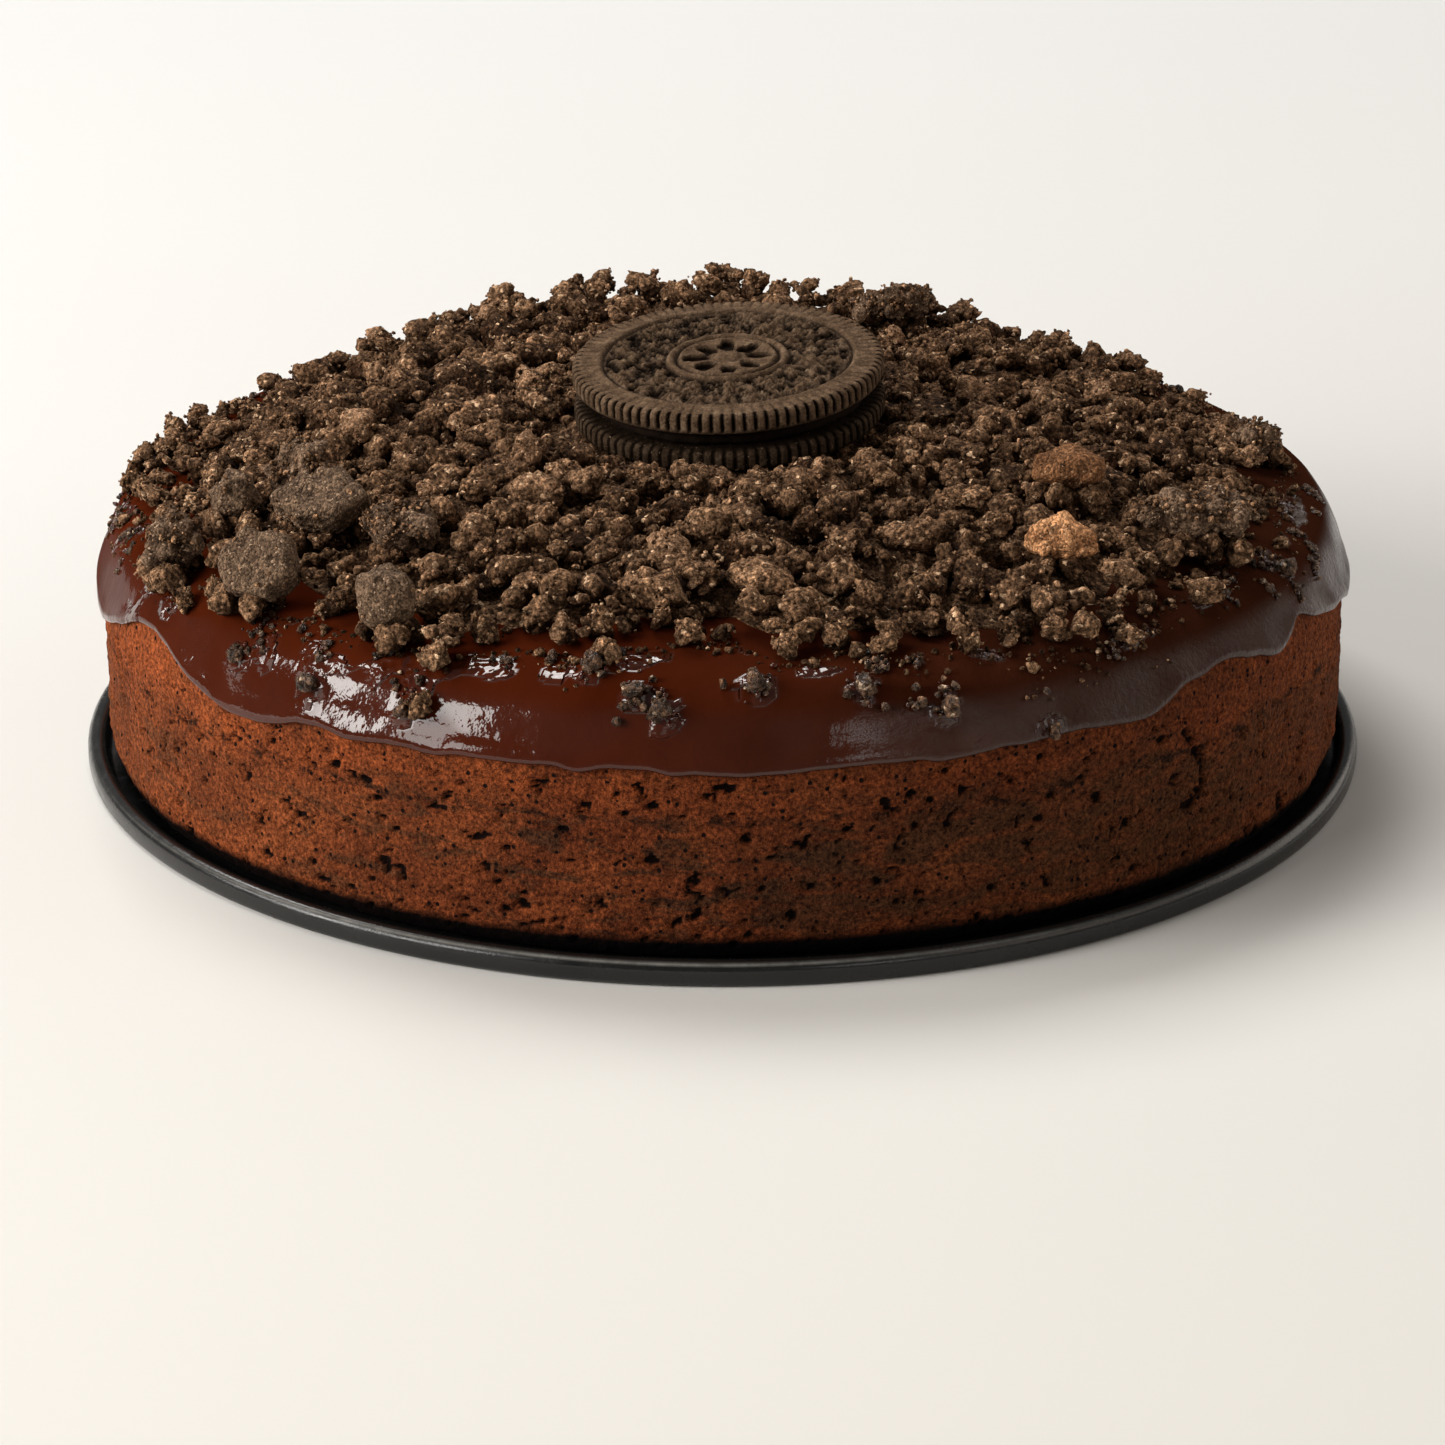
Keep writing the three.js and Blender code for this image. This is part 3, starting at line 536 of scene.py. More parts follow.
def add_node(tree, kind, output, inputs, **settings):
    """A node with its inputs and settings, as the wire from one of its outputs."""
    made = tree.nodes.new(kind)
    for name, value in settings.items():
        setattr(made, name, value)
    for name, value in inputs.items():
        plug(tree, made.inputs[name], value)
    return Wire(tree, made.outputs[output])


def mix(tree, amount, first, second, blend="MIX"):
    inputs = {"Fac": amount, "Color1": first, "Color2": second}
    return add_node(tree, "ShaderNodeMixRGB", "Color", inputs, blend_type=blend)


class Paint:
    """A material with a principled shader, whose steady values sit on its own sockets."""

    def __init__(self, name, **values):
        self.material = bpy.data.materials.new(name)
        self.material.use_nodes = True
        self.tree = self.material.node_tree
        self.shader = self.tree.nodes["Principled BSDF"]
        self.feed(**values)

    def feed(self, **values):
        for socket, value in values.items():
            plug(self.tree, self.shader.inputs[socket.replace("_", " ")], value)

    def place(self, stretch=(1, 1, 1)):
        """The point's place on the object, in metres, stretched to make long or flat patterns."""
        source = add_node(self.tree, "ShaderNodeTexCoord", "Object", {})
        return add_node(self.tree, "ShaderNodeMapping", "Vector", {"Vector": source, "Scale": stretch})

    def along(self, axis):
        """The point's place along X, Y or Z in millimetres."""
        return add_node(self.tree, "ShaderNodeSeparateXYZ", axis, {"Vector": self.place()}) * (1 / MM)

    def tone(self):
        """The tone that each point of the mesh carries."""
        return add_node(self.tree, "ShaderNodeAttribute", "Fac", {}, attribute_name="tone")

    def noise(self, size, detail=2.0, roughness=0.5, stretch=(1, 1, 1), swirl=0.0):
        """Noise from 0 to 1 with lumps of a size in millimetres."""
        inputs = {
            "Vector": self.place(stretch), "Scale": 1 / (size * MM), "Detail": detail,
            "Roughness": roughness, "Distortion": swirl,
        }
        return add_node(self.tree, "ShaderNodeTexNoise", "Fac", inputs)

    def grains(self, size):
        """Rounded cells of a size in millimetres: the distance from their middles, and a draw for each."""
        inputs = {"Vector": self.place(), "Scale": 1 / (size * MM)}
        distance = add_node(self.tree, "ShaderNodeTexVoronoi", "Distance", inputs)
        colour = Wire(self.tree, distance.socket.node.outputs["Color"])
        return distance, add_node(self.tree, "ShaderNodeSeparateColor", "Red", {"Color": colour})

    def finish(self, colour, *layers):
        """The material with its colour and fine relief, where each layer is a height and its depth."""
        self.feed(Base_Color=colour)
        relief = {}
        for height, depth in layers:
            inputs = {"Height": height, "Distance": depth * MM, "Strength": 1.0, **relief}
            relief = {"Normal": add_node(self.tree, "ShaderNodeBump", "Normal", inputs)}
        self.feed(**relief)
        coat = self.shader.inputs["Coat Weight"]
        if relief and (coat.is_linked or coat.default_value > 0):
            self.feed(Coat_Normal=relief["Normal"])
        return self.material


def tin_material():
    """Satin black, with a highlight line painted along the top of the bead in front."""
    paint = Paint("black_steel", Roughness=0.24, Specular_IOR_Level=0.5)
    across = paint.along("X")
    black = paint.noise(14, 4).ramp((0.3, (0.004, 0.004, 0.004)), (0.7, (0.008, 0.008, 0.0077)))
    # Painted highlight: a lighter line along the top of the bead, broken by noise and fading to the left and
    # right
    worn = abs(TIN_BEAD_HEIGHT - HIGHLIGHT_LINE_DEPTH - paint.along("Z")).spread(0.3, 0.0) ** 1.6
    worn = worn * paint.noise(2.5, 4, 0.7) * across.spread(-85, -50, 0.2, 1.3)
    worn = worn * across.spread(-10, 70, 1.3, 0.2)
    paint.feed(Roughness=paint.noise(3, 3).spread(0.3, 0.7, 0.18, 0.3))
    return paint.finish(black.mixed(worn, (0.17, 0.164, 0.15)), (paint.noise(0.4, 3), 0.03))


def sponge_material():
    """Baked crumb, warmer at its top and foot, streaked and greyer to the right, with a broken dark seam."""
    paint = Paint("sponge", Roughness=0.95, Specular_IOR_Level=0.1)
    height, across = paint.along("Z"), paint.along("X")
    base = paint.noise(12, 3).ramp(
        (0.32, (0.062, 0.0138, 0.0044)), (0.5, (0.116, 0.0268, 0.0081)), (0.7, (0.17, 0.043, 0.0128)),
    )
    uneven_height = height + paint.noise(14, 3, 0.6).spread(0.3, 0.7, -2.5, 2.5)
    bands = uneven_height.spread(19.5, 24.5).at_least(uneven_height.spread(9.5, 4.5) * 0.6)
    # The warm bands fade to the right, partly as painted shade under the glaze's lip
    warm = bands * paint.noise(4, 4, 0.6).spread(0.3, 0.6) * across.spread(-75, -5, 1.0, 0.3)
    off_bands = 0.85 - bands * 0.6
    streaks = paint.noise(12, 5, 0.62, (1, 1, 3.4), 1.2) + across.spread(-70, 60, 0.03, 0.11)
    # Greyer and darker to the right: the crust's own marbling, and partly painted shade away from the lamps
    # on the left
    greyer = across.spread(-15, 50, 0.0, 0.75) * off_bands * across.spread(88, 70, 0.2, 1.0)
    broken = paint.noise(3, 5, 0.7, (1, 1, 2)).spread(0.5, 0.58)
    seam = abs(height - SEAM_LEVEL).spread(1.1, 0.2) * broken
    for amount, colour in (
        (warm, (0.23, 0.05, 0.0127)),
        (streaks.spread(0.55, 0.64) * off_bands, (0.034, 0.0155, 0.0074)),
        (greyer, (0.072, 0.026, 0.0095)),
        # Painted light: lighter at the far left and the far right, where the side lamps fall
        (across.spread(-12, -80, 0.0, 0.27), (0.31, 0.09, 0.031)),
        (across.spread(66, 88, 0.0, 0.35), (0.22, 0.06, 0.018)),
        (seam * 0.85, (0.012, 0.006, 0.003)),
    ):
        base = base.mixed(amount, colour)
    speck = paint.noise(0.6, 3, 0.8).ramp(
        (0.35, (0.16, 0.135, 0.12)), (0.47, (0.77, 0.75, 0.74)),
        (0.56, (1.26, 1.26, 1.23)), (0.7, (2.3, 2.3, 2.23)),
    )
    # Painted shade: pores and pits, from the mesh's tone and the grain cells, are darkened nearly to black
    distance, drawn = paint.grains(1.1)
    pit = distance.spread(0.3, 0.2) * drawn.spread(0.74, 0.78)
    hollow = paint.tone().at_least(pit).spread(0.28, 0.68)
    # Painted shadow: nearly black along the foot, where the cake meets the tin
    foot = height.spread(4.3, 5.7).ramp((0.0, (0.015, 0.015, 0.015)), (1.0, (1, 1, 1)))
    base = base.shaded(speck, 0.9).mixed(hollow, (0.007, 0.003, 0.002)).shaded(foot)
    return paint.finish(base, (paint.noise(1.2, 3, 0.7), 0.6), (paint.noise(0.45, 3, 0.8), 0.5), (pit, -0.3))


def glaze_material():
    """Dark glaze under a glossy coat, with wet ripples round crumbs and fine pits at the right.

    The tone is the coat's share up to 1, and above that the depth of the ripples.
    """
    paint = Paint("glaze", Roughness=0.6, Specular_IOR_Level=0.0, Coat_IOR=1.5, Coat_Roughness=0.08)
    across, tone, cloudy = paint.along("X"), paint.tone(), paint.noise(11, 3)
    redder = cloudy.ramp((0.3, (0.037, 0.006, 0.0016)), (0.7, (0.049, 0.0082, 0.0024)))
    duller = cloudy.ramp((0.3, (0.026, 0.0077, 0.0036)), (0.7, (0.034, 0.0101, 0.0049)))
    paint.feed(Coat_Weight=tone.at_most(1.0))
    satin = paint.noise(0.8, 4, 0.65) * across.spread(10, 45)
    ripples = paint.noise(2.1, 1, 0.4) * tone.spread(1.1, 1.9)
    base = redder.mixed(across.spread(-15, 45), duller)
    return paint.finish(base, (paint.noise(2.4, 3, 0.55), 0.12), (satin, 0.3), (ripples, 1.1))


def crumb_material(name, dark, light, speck, wet=0.0):
    """Granular cookie: irregular grains with painted shade in gaps and fine hollows, painted lighter tips
    and a few pale specks.
    """
    paint = Paint(name, Roughness=0.9, Specular_IOR_Level=0.06, Coat_Weight=wet, Coat_Roughness=0.08)
    distance, drawn = paint.grains(0.6)
    shade = drawn.ramp((0.0, (0.55, 0.53, 0.5)), (0.6, (1, 1, 1)), (0.92, (1.7, 1.66, 1.6)))
    # Painted shade: the same noise that raises the fine grit darkens its hollows
    grit = paint.noise(0.55, 3, 0.75)
    speckle = grit.ramp(
        (0.34, (0.1, 0.095, 0.09)), (0.47, (0.6, 0.59, 0.57)),
        (0.56, (1.25, 1.25, 1.25)), (0.7, (2.3, 2.3, 2.25)),
    )
    base = mix(paint.tree, paint.tone(), dark, light).shaded(shade)
    base = base.mixed(drawn.spread(0.96, 0.975), speck).shaded(speckle, 0.9)
    return paint.finish(base, (distance, -0.35), (grit, 0.55))


def wafer_material():
    """Dry dark wafer, painted lighter on its raised parts as highlight and nearly black in its grooves as
    shade.
    """
    paint = Paint("cookie_wafer", Roughness=0.85, Specular_IOR_Level=0.03)
    base = paint.noise(2.2, 5, 0.65).ramp(
        (0.3, (0.034, 0.021, 0.0125)), (0.52, (0.062, 0.04, 0.0255)), (0.75, (0.11, 0.076, 0.051)),
    )
    # Painted highlight and shade: the tone lightens ridges and darkens grooves and slots nearly to black
    worn = paint.tone().ramp(
        (0.0, (1.7, 1.66, 1.6)), (0.25, (1, 1, 1)), (0.6, (0.16, 0.15, 0.14)), (1.0, (0.04, 0.035, 0.03)),
    )
    grain = paint.noise(0.35, 2, 0.7).ramp((0.32, (0.5, 0.49, 0.48)), (0.68, (1.6, 1.57, 1.5)))
    speck = paint.noise(0.55, 2, 0.6).spread(0.68, 0.74)
    base = base.shaded(worn).shaded(grain, 0.8).mixed(speck, (0.15, 0.1, 0.062))
    return paint.finish(base, (paint.noise(1.0, 4, 0.7), 0.3), (paint.noise(0.25, 2, 0.7), 0.12))


def fragment_material(name, dark, light, speck):
    """Dense broken wafer or nut: fine speckled grain, without the crumbs' open gaps."""
    paint = Paint(name, Roughness=0.85, Specular_IOR_Level=0.1)
    distance, drawn = paint.grains(0.3)
    shade = drawn.ramp((0.0, (0.42, 0.4, 0.38)), (0.5, (0.92, 0.92, 0.92)), (0.9, (1.75, 1.72, 1.68)))
    blotch = paint.noise(1.8, 4, 0.6).ramp((0.32, (0.72, 0.7, 0.67)), (0.66, (1.25, 1.23, 1.2)))
    base = mix(paint.tree, paint.tone(), dark, light).shaded(shade)
    base = base.mixed(drawn.spread(0.96, 0.98), speck).shaded(blotch, 0.8)
    return paint.finish(
        base, (paint.noise(0.9, 4, 0.7), 0.4), (distance, -0.2), (paint.noise(0.2, 2, 0.7), 0.1),
    )


def filling_material():
    paint = Paint("cookie_filling", Roughness=0.9, Specular_IOR_Level=0.05)
    base = paint.noise(1.5, 3).ramp((0.3, (0.004, 0.0025, 0.0017)), (0.7, (0.012, 0.007, 0.0045)))
    return paint.finish(base, (paint.noise(0.6, 3, 0.6), 0.2))


def floor_material():
    """Pale and nearly even, cooler far behind the cake, where painted light also makes it lighter."""
    paint = Paint("pale_floor", Roughness=0.85, Specular_IOR_Level=0.2)
    far = paint.along("Y").spread(-500, 1300)
    colour = far.ramp((0.0, (0.565, 0.544, 0.505)), (1.0, (0.73, 0.743, 0.762)))
    cloudy = paint.noise(300, 2).ramp((0.3, (0.985,) * 3), (0.7, (1.0,) * 3))
    return paint.finish(colour.shaded(cloudy))


MATERIALS = {
    "glaze": glaze_material(),
    "crumbs": crumb_material("crumbs", (0.029, 0.0137, 0.0068), (0.3, 0.171, 0.096), (0.52, 0.34, 0.21)),
    "wet": crumb_material("wet_crumbs", (0.022, 0.01, 0.0055), (0.18, 0.1, 0.057), (0.4, 0.29, 0.2), 0.6),
    "wafer": wafer_material(),
    "shard": fragment_material("shard", (0.06, 0.037, 0.0235), (0.153, 0.1, 0.064), (0.32, 0.22, 0.15)),
    "rough": fragment_material("rough", (0.035, 0.02, 0.012), (0.15, 0.096, 0.062), (0.36, 0.25, 0.17)),
    "almond": fragment_material("almond", (0.07, 0.03, 0.013), (0.21, 0.1, 0.046), (0.27, 0.15, 0.08)),
    "peanut": fragment_material("peanut", (0.19, 0.085, 0.038), (0.48, 0.243, 0.115), (0.58, 0.35, 0.2)),
    "pale": fragment_material("pale", (0.07, 0.037, 0.02), (0.27, 0.155, 0.088), (0.4, 0.26, 0.16)),
}


# Tin

def tin_base():
    """The plate and its rolled bead: a groove runs round inside the bead, and its top is a round roll."""
    inside = TIN_RADIUS - TIN_BEAD_WIDTH
    roll = TIN_BEAD_WIDTH / 2
    profile = np.concatenate([
        line_points((1, 0), (TIN_RADIUS - 0.9, 0), 6),
        arc_points((TIN_RADIUS - 0.9, 0.9), (0.9, 0.9), -90, 0, 5),
        arc_points((TIN_RADIUS - roll, TIN_BEAD_HEIGHT - roll), (roll, roll), 0, 160, 14),
        arc_points((inside - 0.7, TIN_PLATE_THICKNESS + 0.7), (0.7, 0.7), -15, -90, 6),
        line_points((inside - 1.6, TIN_PLATE_THICKNESS), (1, TIN_PLATE_THICKNESS), 8),
        [(1, TIN_PLATE_THICKNESS)],
    ])
    turned_piece("tin_plate", *swept(profile, TIN_COLUMNS), tin_material(), "black_steel", "tin_base")


# Sponge

def sponge_profile():
    """Points from the middle of the underside out, up the side, over the shoulder and to the axis."""
    foot = SPONGE_SIDE - SPONGE_FOOT_INSET
    foot_top = SPONGE_FOOT_HEIGHT + SPONGE_FOOT_ROUNDING
    top = np.array([dome_rim(SPONGE_SKIN)[0], 60, 30, 2])
    return np.concatenate([
        line_points((2, SPONGE_FOOT_HEIGHT), (foot, SPONGE_FOOT_HEIGHT), 4),
        arc_points((foot, foot_top), (SPONGE_FOOT_INSET, SPONGE_FOOT_ROUNDING), -90, 0, 14)[:-1],
        line_points((SPONGE_SIDE, foot_top), (SPONGE_SIDE, SPONGE_SKIN["level"]), 56),
        arc_points((SPONGE_SKIN["middle"], SPONGE_SKIN["level"]), (SPONGE_SKIN["arc"],) * 2, 0, 75, 9),
        stacked(top, skin_height(SPONGE_SKIN, top)),
    ])


def pore_places():
    """Azimuth, level, half width and half height of each pore. Cracks are wandering rows of them."""
    draw = np.random.default_rng(PORE_SEED)
    for _ in range(PORE_COUNT):
        size = 0.2 + 0.55 * draw.random() ** 4
        level = 3.5 + 23 * draw.random() ** 1.1
        yield draw.uniform(-math.pi, math.pi), level, size * draw.uniform(0.8, 1.4), size * 0.75
    for _ in range(CRACK_COUNT):
        at, level = draw.uniform(-math.pi, math.pi), draw.uniform(5, 25)
        heading = draw.normal(0, 0.7)
        for _ in range(draw.integers(3, 7)):
            yield at, level, draw.uniform(0.25, 0.5), draw.uniform(0.2, 0.4)
            heading += draw.normal(0, 0.6)
            at += CRACK_STEP * math.cos(heading) / SPONGE_SIDE
            level += CRACK_STEP * math.sin(heading)
    at, level = TORN_CRACK
    for turn in np.linspace(-110, 75, 9) * DEGREE:
        yield at + 2.6 * math.cos(turn) / SPONGE_SIDE, level + 3.8 * math.sin(turn), 0.6, 0.75


def sponge_pores(azimuth, height):
    """How deep each point of the side lies in a pore, in millimetres. Most pores are wider than high."""
    depth = np.zeros((len(height), len(azimuth)))
    for at, level, wide, high in pore_places():
        turn = short_way(azimuth - at) * SPONGE_SIDE
        columns = np.flatnonzero(np.abs(turn) < 1.6 * wide)
        rows = np.flatnonzero(np.abs(height - level) < 1.6 * high)
        if len(rows) == 0 or len(columns) == 0:
            continue
        beside, above = turn[columns][None, :], height[rows][:, None]
        away = np.hypot(beside / wide, (above - level) / high)
        ragged = smooth_noise(stacked(beside + 9 * at, above, level), 0.55 + 0.3 * wide, 5)
        hole = smooth_step(-away * (1 + 0.7 * ragged), -1.2, -0.6) * min(1.4, 0.45 + 0.9 * high)
        window = np.ix_(rows, columns)
        depth[window] = np.maximum(depth[window], hole)
    return depth


def sponge():
    profile = sponge_profile()
    azimuth = azimuths(SPONGE_COLUMNS)
    radius, height = swept(profile, SPONGE_COLUMNS)
    radius = radius * out_of_round(azimuth)
    points = row_points(radius, height)
    shown = smooth_step(profile[:, 0], SPONGE_SIDE - 6, SPONGE_SIDE - 4)[:, None]
    crumbly = SPONGE_GRAIN * layered_noise(points, 1.5, 21) + 0.25 * smooth_noise(points, 9, 31)
    hollow = sponge_pores(azimuth, profile[:, 1])
    pitted = smooth_step(layered_noise(points, 1.3, 41), 0.75, 1.1)
    radius = radius + shown * (crumbly - hollow - 0.35 * pitted)
    # The tone carries how deep each point lies in a pore or pit, for the material's painted shade
    tone = np.clip(hollow / 0.9 + 0.5 * pitted, 0, 0.97) * shown
    turned_piece("sponge_cake", radius, height, sponge_material(), "sponge", "sponge", tone)


# Glaze

def glaze_edge(azimuth):
    """Height of the glaze's lower edge: listed tongues with small ones between them."""
    small = 0.6 * layered_noise(polar(88, azimuth), 6, 51, 2)
    return GLAZE_EDGE_HEIGHT + lobes_at(azimuth, GLAZE_EDGE_LOBES) + small


def glaze_rows(azimuth):
    """Rows of radius and height: out under the coat, round its lip, and back over its top."""
    arc, middle, centre = SPONGE_SKIN["arc"], SPONGE_SKIN["middle"], SPONGE_SKIN["level"]
    inner_rim, inner_rim_height = dome_rim(SPONGE_SKIN)
    rows = [(at, skin_height(SPONGE_SKIN, at) + 0.2) for at in (2, 40, 70, inner_rim)]
    lip_level = glaze_edge(azimuth) + GLAZE_LIP
    for part in (0.35, 0.7, 1.0):
        level = (1 - part) * inner_rim_height + part * lip_level
        up = np.clip(level - centre, 0, arc)
        rows.append((middle + np.sqrt(arc ** 2 - up ** 2) - 0.15, level))
    lip_inner = rows[-1][0]
    lip_angle = np.arcsin(np.clip((lip_level - centre) / arc, 0, 1))
    half = (0.15 + GLAZE_BEAD * np.cos(lip_angle)) / 2
    for angle in (-150, -120, -90, -60, -35, -15):
        turn = angle * DEGREE
        rows.append((lip_inner + half * (1 + math.cos(turn)), lip_level + GLAZE_LIP * math.sin(turn)))
    wall = np.maximum(0, centre - lip_level)
    length = wall + arc * (SHOULDER_SWEEP - lip_angle)
    for part in np.linspace(0, 1, 37)[:-1] ** 1.25:
        along_skin = length * part
        angle = lip_angle + np.maximum(0, along_skin - wall) / arc
        bead = (GLAZE_BEAD - GLAZE_FILM) * np.exp(-(along_skin / GLAZE_BEAD_REACH) ** 2)
        radius, height = coat_point(angle, coat_thickness(angle) + bead)
        rows.append((radius, height - np.maximum(0, wall - along_skin)))
    for at in (*np.linspace(SHOULDER_RADII[0], 58, 26), 50, 40, 26, 12, 2):
        rows.append((at, skin_height(GLAZE_SKIN, at)))
    return [np.array([np.broadcast_to(value, azimuth.shape) for value in part]) for part in zip(*rows)]


def near_loose_crumbs(points, reach):
    """From 1 beside a crumb stuck to the glaze to 0 away from it. The reach is in shares of its size."""
    nearest = np.zeros(points.shape[:-1])
    for x, y, size in LOOSE_CRUMBS:
        crumb = np.array([x, y, float(glaze_height(math.hypot(x, y)))])
        away = np.linalg.norm(points - crumb, axis=-1) / (reach * size)
        nearest = np.maximum(nearest, np.exp(-away ** 2))
    return nearest


def glaze_tone(points, normal, azimuth):
    """Share of the glossy coat from 0 to 1, most on the lip. Round crumbs it runs on to 2 for ripples."""
    patches = 0.55 + 0.45 * smooth_step(layered_noise(points, 9, 83, 2), -0.3, 0.3)
    gloss = np.clip((GLOSS + lobes_at(azimuth, GLOSS_LOBES)) * patches, 0, 1)
    gloss = gloss * (1 - smooth_step(normal[..., 2], *GLOSS_FADES))
    over_lip = points[..., 2] - glaze_edge(azimuth)
    gloss = np.maximum(gloss, LIP_GLOSS * (1 - smooth_step(over_lip, 0.8, 1.5)))
    past_heap = np.hypot(points[..., 0], points[..., 1]) - heap_radius(azimuth)
    wetter = lobes_at(azimuth, WETTER_LOBE)
    rippled = smooth_step(smooth_noise(points, 3.5, 87) + wetter, 0.3, 0.6)
    rippled = rippled * smooth_step(past_heap, -2, 0) * (1 - smooth_step(past_heap - 6 * wetter, 1, 3.5))
    rippled = rippled * (points[..., 1] < 0)
    near = near_loose_crumbs(points, RIPPLE_REACH) * smooth_step(smooth_noise(points, 1.6, 89), -0.7, 0.1)
    rippled = np.maximum(rippled, near)
    return np.where(rippled > RIPPLE_STARTS, 1 + rippled, gloss)


def glaze():
    """A closed coat over the sponge, thin on the shoulder and beaded along its lower edge."""
    azimuth = azimuths(GLAZE_COLUMNS)
    radius, height = glaze_rows(azimuth)
    radius = radius * out_of_round(azimuth)
    points = row_points(radius, height)
    outer = height > skin_height(SPONGE_SKIN, radius) + 0.3
    push = GLAZE_WAVE * smooth_noise(points, 17, 61) + GLAZE_RIPPLE * layered_noise(points, 6.5, 71, 2)
    push = push + 0.3 * near_loose_crumbs(points, 0.75)
    normal = glaze_normal(points[..., 0], points[..., 1])
    radius = radius + outer * push * np.hypot(normal[..., 0], normal[..., 1])
    height = height + outer * push * normal[..., 2]
    tone = glaze_tone(points, normal, azimuth)
    turned_piece("glaze_coat", radius, height, MATERIALS["glaze"], "glaze", "glaze", tone)


# Whole cookie

def on_cookie(points, lift):
    """Moves points from the cookie's own frame, raised by a lift, to its tipped and leaning place."""
    tip_cos, tip_sin = math.cos(COOKIE_TIP), math.sin(COOKIE_TIP)
    lean_cos, lean_sin = math.cos(COOKIE_LEAN), math.sin(COOKIE_LEAN)
    tip = np.array([[1, 0, 0], [0, tip_cos, -tip_sin], [0, tip_sin, tip_cos]])
    lean = np.array([[lean_cos, 0, -lean_sin], [0, 1, 0], [lean_sin, 0, lean_cos]])
    return (points + [0, 0, lift]) @ (tip @ lean).T + COOKIE_PLACE


def face_relief(radius, azimuth):
    """Height of the upper face's relief: plain rings, a rough band and a small ring of slots."""
    across = polar(radius, azimuth)
    in_band = smooth_step(radius, BAND_INNER_RADIUS - 0.3, BAND_INNER_RADIUS + 0.3)
    in_band = in_band * (1 - smooth_step(radius, BAND_OUTER_RADIUS - 0.3, BAND_OUTER_RADIUS + 0.3))
    relief = in_band * (BAND_ROUGHNESS * layered_noise(across, 1.5, 81, 4, 0.75) - BAND_DEPTH)
    for at, width, height in FACE_RINGS:
        relief = relief + height * np.exp(-((radius - at) / width) ** 2)
    slot_turn = (azimuth * ROSETTE_SLOTS / (2 * math.pi) + 0.5) % 1 - 0.5
    beside = slot_turn * 2 * math.pi / ROSETTE_SLOTS * radius
    inside = np.hypot((radius - ROSETTE_RADIUS) / (SLOT_LENGTH / 2), beside / (SLOT_WIDTH / 2))
    inside = inside + 0.3 * layered_noise(across, 1.4, 85, 2)
    relief = relief - SLOT_DEPTH * (1 - smooth_step(inside, 0.7, 1.15))
    return relief + 0.35 * (1 - smooth_step(radius, 1.2, 2.4))


def wafer(name, lift, top_radii, node, rib_reach, rib_depth, shade=0.0, relief=None):
    """One ribbed wafer of the cookie, with its ribs running over the rim onto the face."""
    rounding = WAFER_EDGE_ROUNDING
    rim = COOKIE_RADIUS - rounding
    profile = np.concatenate([
        line_points((2, 0), (rim, 0), 4),
        arc_points((rim, rounding), (rounding, rounding), -90, 0, 5),
        arc_points((rim, WAFER_THICKNESS - rounding), (rounding, rounding), 0, 90, 6),
        [(radius, WAFER_THICKNESS) for radius in top_radii],
    ])
    radius, height = swept(profile, WAFER_COLUMNS)
    azimuth = np.broadcast_to(azimuths(WAFER_COLUMNS), radius.shape)
    groove = (0.5 + 0.5 * np.cos(WAFER_RIBS * azimuth)) ** 4
    on_side = smooth_step(height, 0.2, 1.0) * smooth_step(radius, COOKIE_RADIUS - 1.4, COOKIE_RADIUS - 0.5)
    on_face = smooth_step(radius, rib_reach - 0.6, rib_reach + 0.6) * (height > WAFER_THICKNESS - 0.5)
    worn = 0.09 * layered_noise(row_points(radius, height), 1.1, 91)
    out = -rib_depth * groove * on_side + worn * on_side
    face = height > WAFER_THICKNESS - 0.01
    up = face * worn - 0.25 * rib_depth * groove * on_face
    ribbed = np.maximum(on_side, 0.25 * on_face)
    # Painted shade and highlight: grooves dark and ridges lighter, and the shade adds painted shadow
    tone = 0.25 + ribbed * (groove * rib_depth / RIB_DEPTH - 0.2) + shade
    if relief is not None:
        raised = face * relief(radius, azimuth)
        # Painted shade in the face's slots and rough band, and lighter raised rings
        tone = tone - face * np.clip(raised + 0.2, -0.45, 0.2)
        up = up + raised
    tone = np.clip(tone, 0, 1)
    turned_piece(name, radius + out, height + up, MATERIALS["wafer"], "cookie_wafer", node, tone, lift)


def filling(lift):
    """The dark filling: a disc with a soft bulging side, a little uneven."""
    start = FILLING_RADIUS - 0.9
    profile = np.concatenate([
        line_points((2, 0), (start, 0), 3),
        arc_points((start, FILLING_THICKNESS / 2), (0.9, FILLING_THICKNESS / 2), -90, 90, 9),
        line_points((start - 2, FILLING_THICKNESS), (2, FILLING_THICKNESS), 2),
        [(2, FILLING_THICKNESS)],
    ])
    radius, height = swept(profile, FILLING_COLUMNS)
    bulge = 0.35 * layered_noise(row_points(radius, height), 5, 95)
    radius = radius + bulge * smooth_step(radius, start - 1, start)
    turned_piece(
        "cookie_cream", radius, height, filling_material(), "cookie_filling", "cookie_filling", lift=lift,
    )


def cookie():
    filling_lift = WAFER_THICKNESS + COOKIE_GAP
    upper_lift = WAFER_THICKNESS + FILLING_THICKNESS + 2 * COOKIE_GAP
    # The lower wafer takes painted shadow from the upper one through its shade
    wafer("lower_wafer", 0, [20.6, 19.5, 18, 8, 2], "cookie_lower_wafer", 20.2, 0.25, shade=0.36)
    filling(filling_lift)
    face = [*np.linspace(20.9, 17.3, 18), *np.linspace(17.1, 9.2, 32), *np.linspace(9.05, 0.8, 34)]
    wafer("upper_wafer", upper_lift, face, "cookie_upper_wafer", 19.2, RIB_DEPTH, relief=face_relief)


# Big fragments, made from the frame's own solids

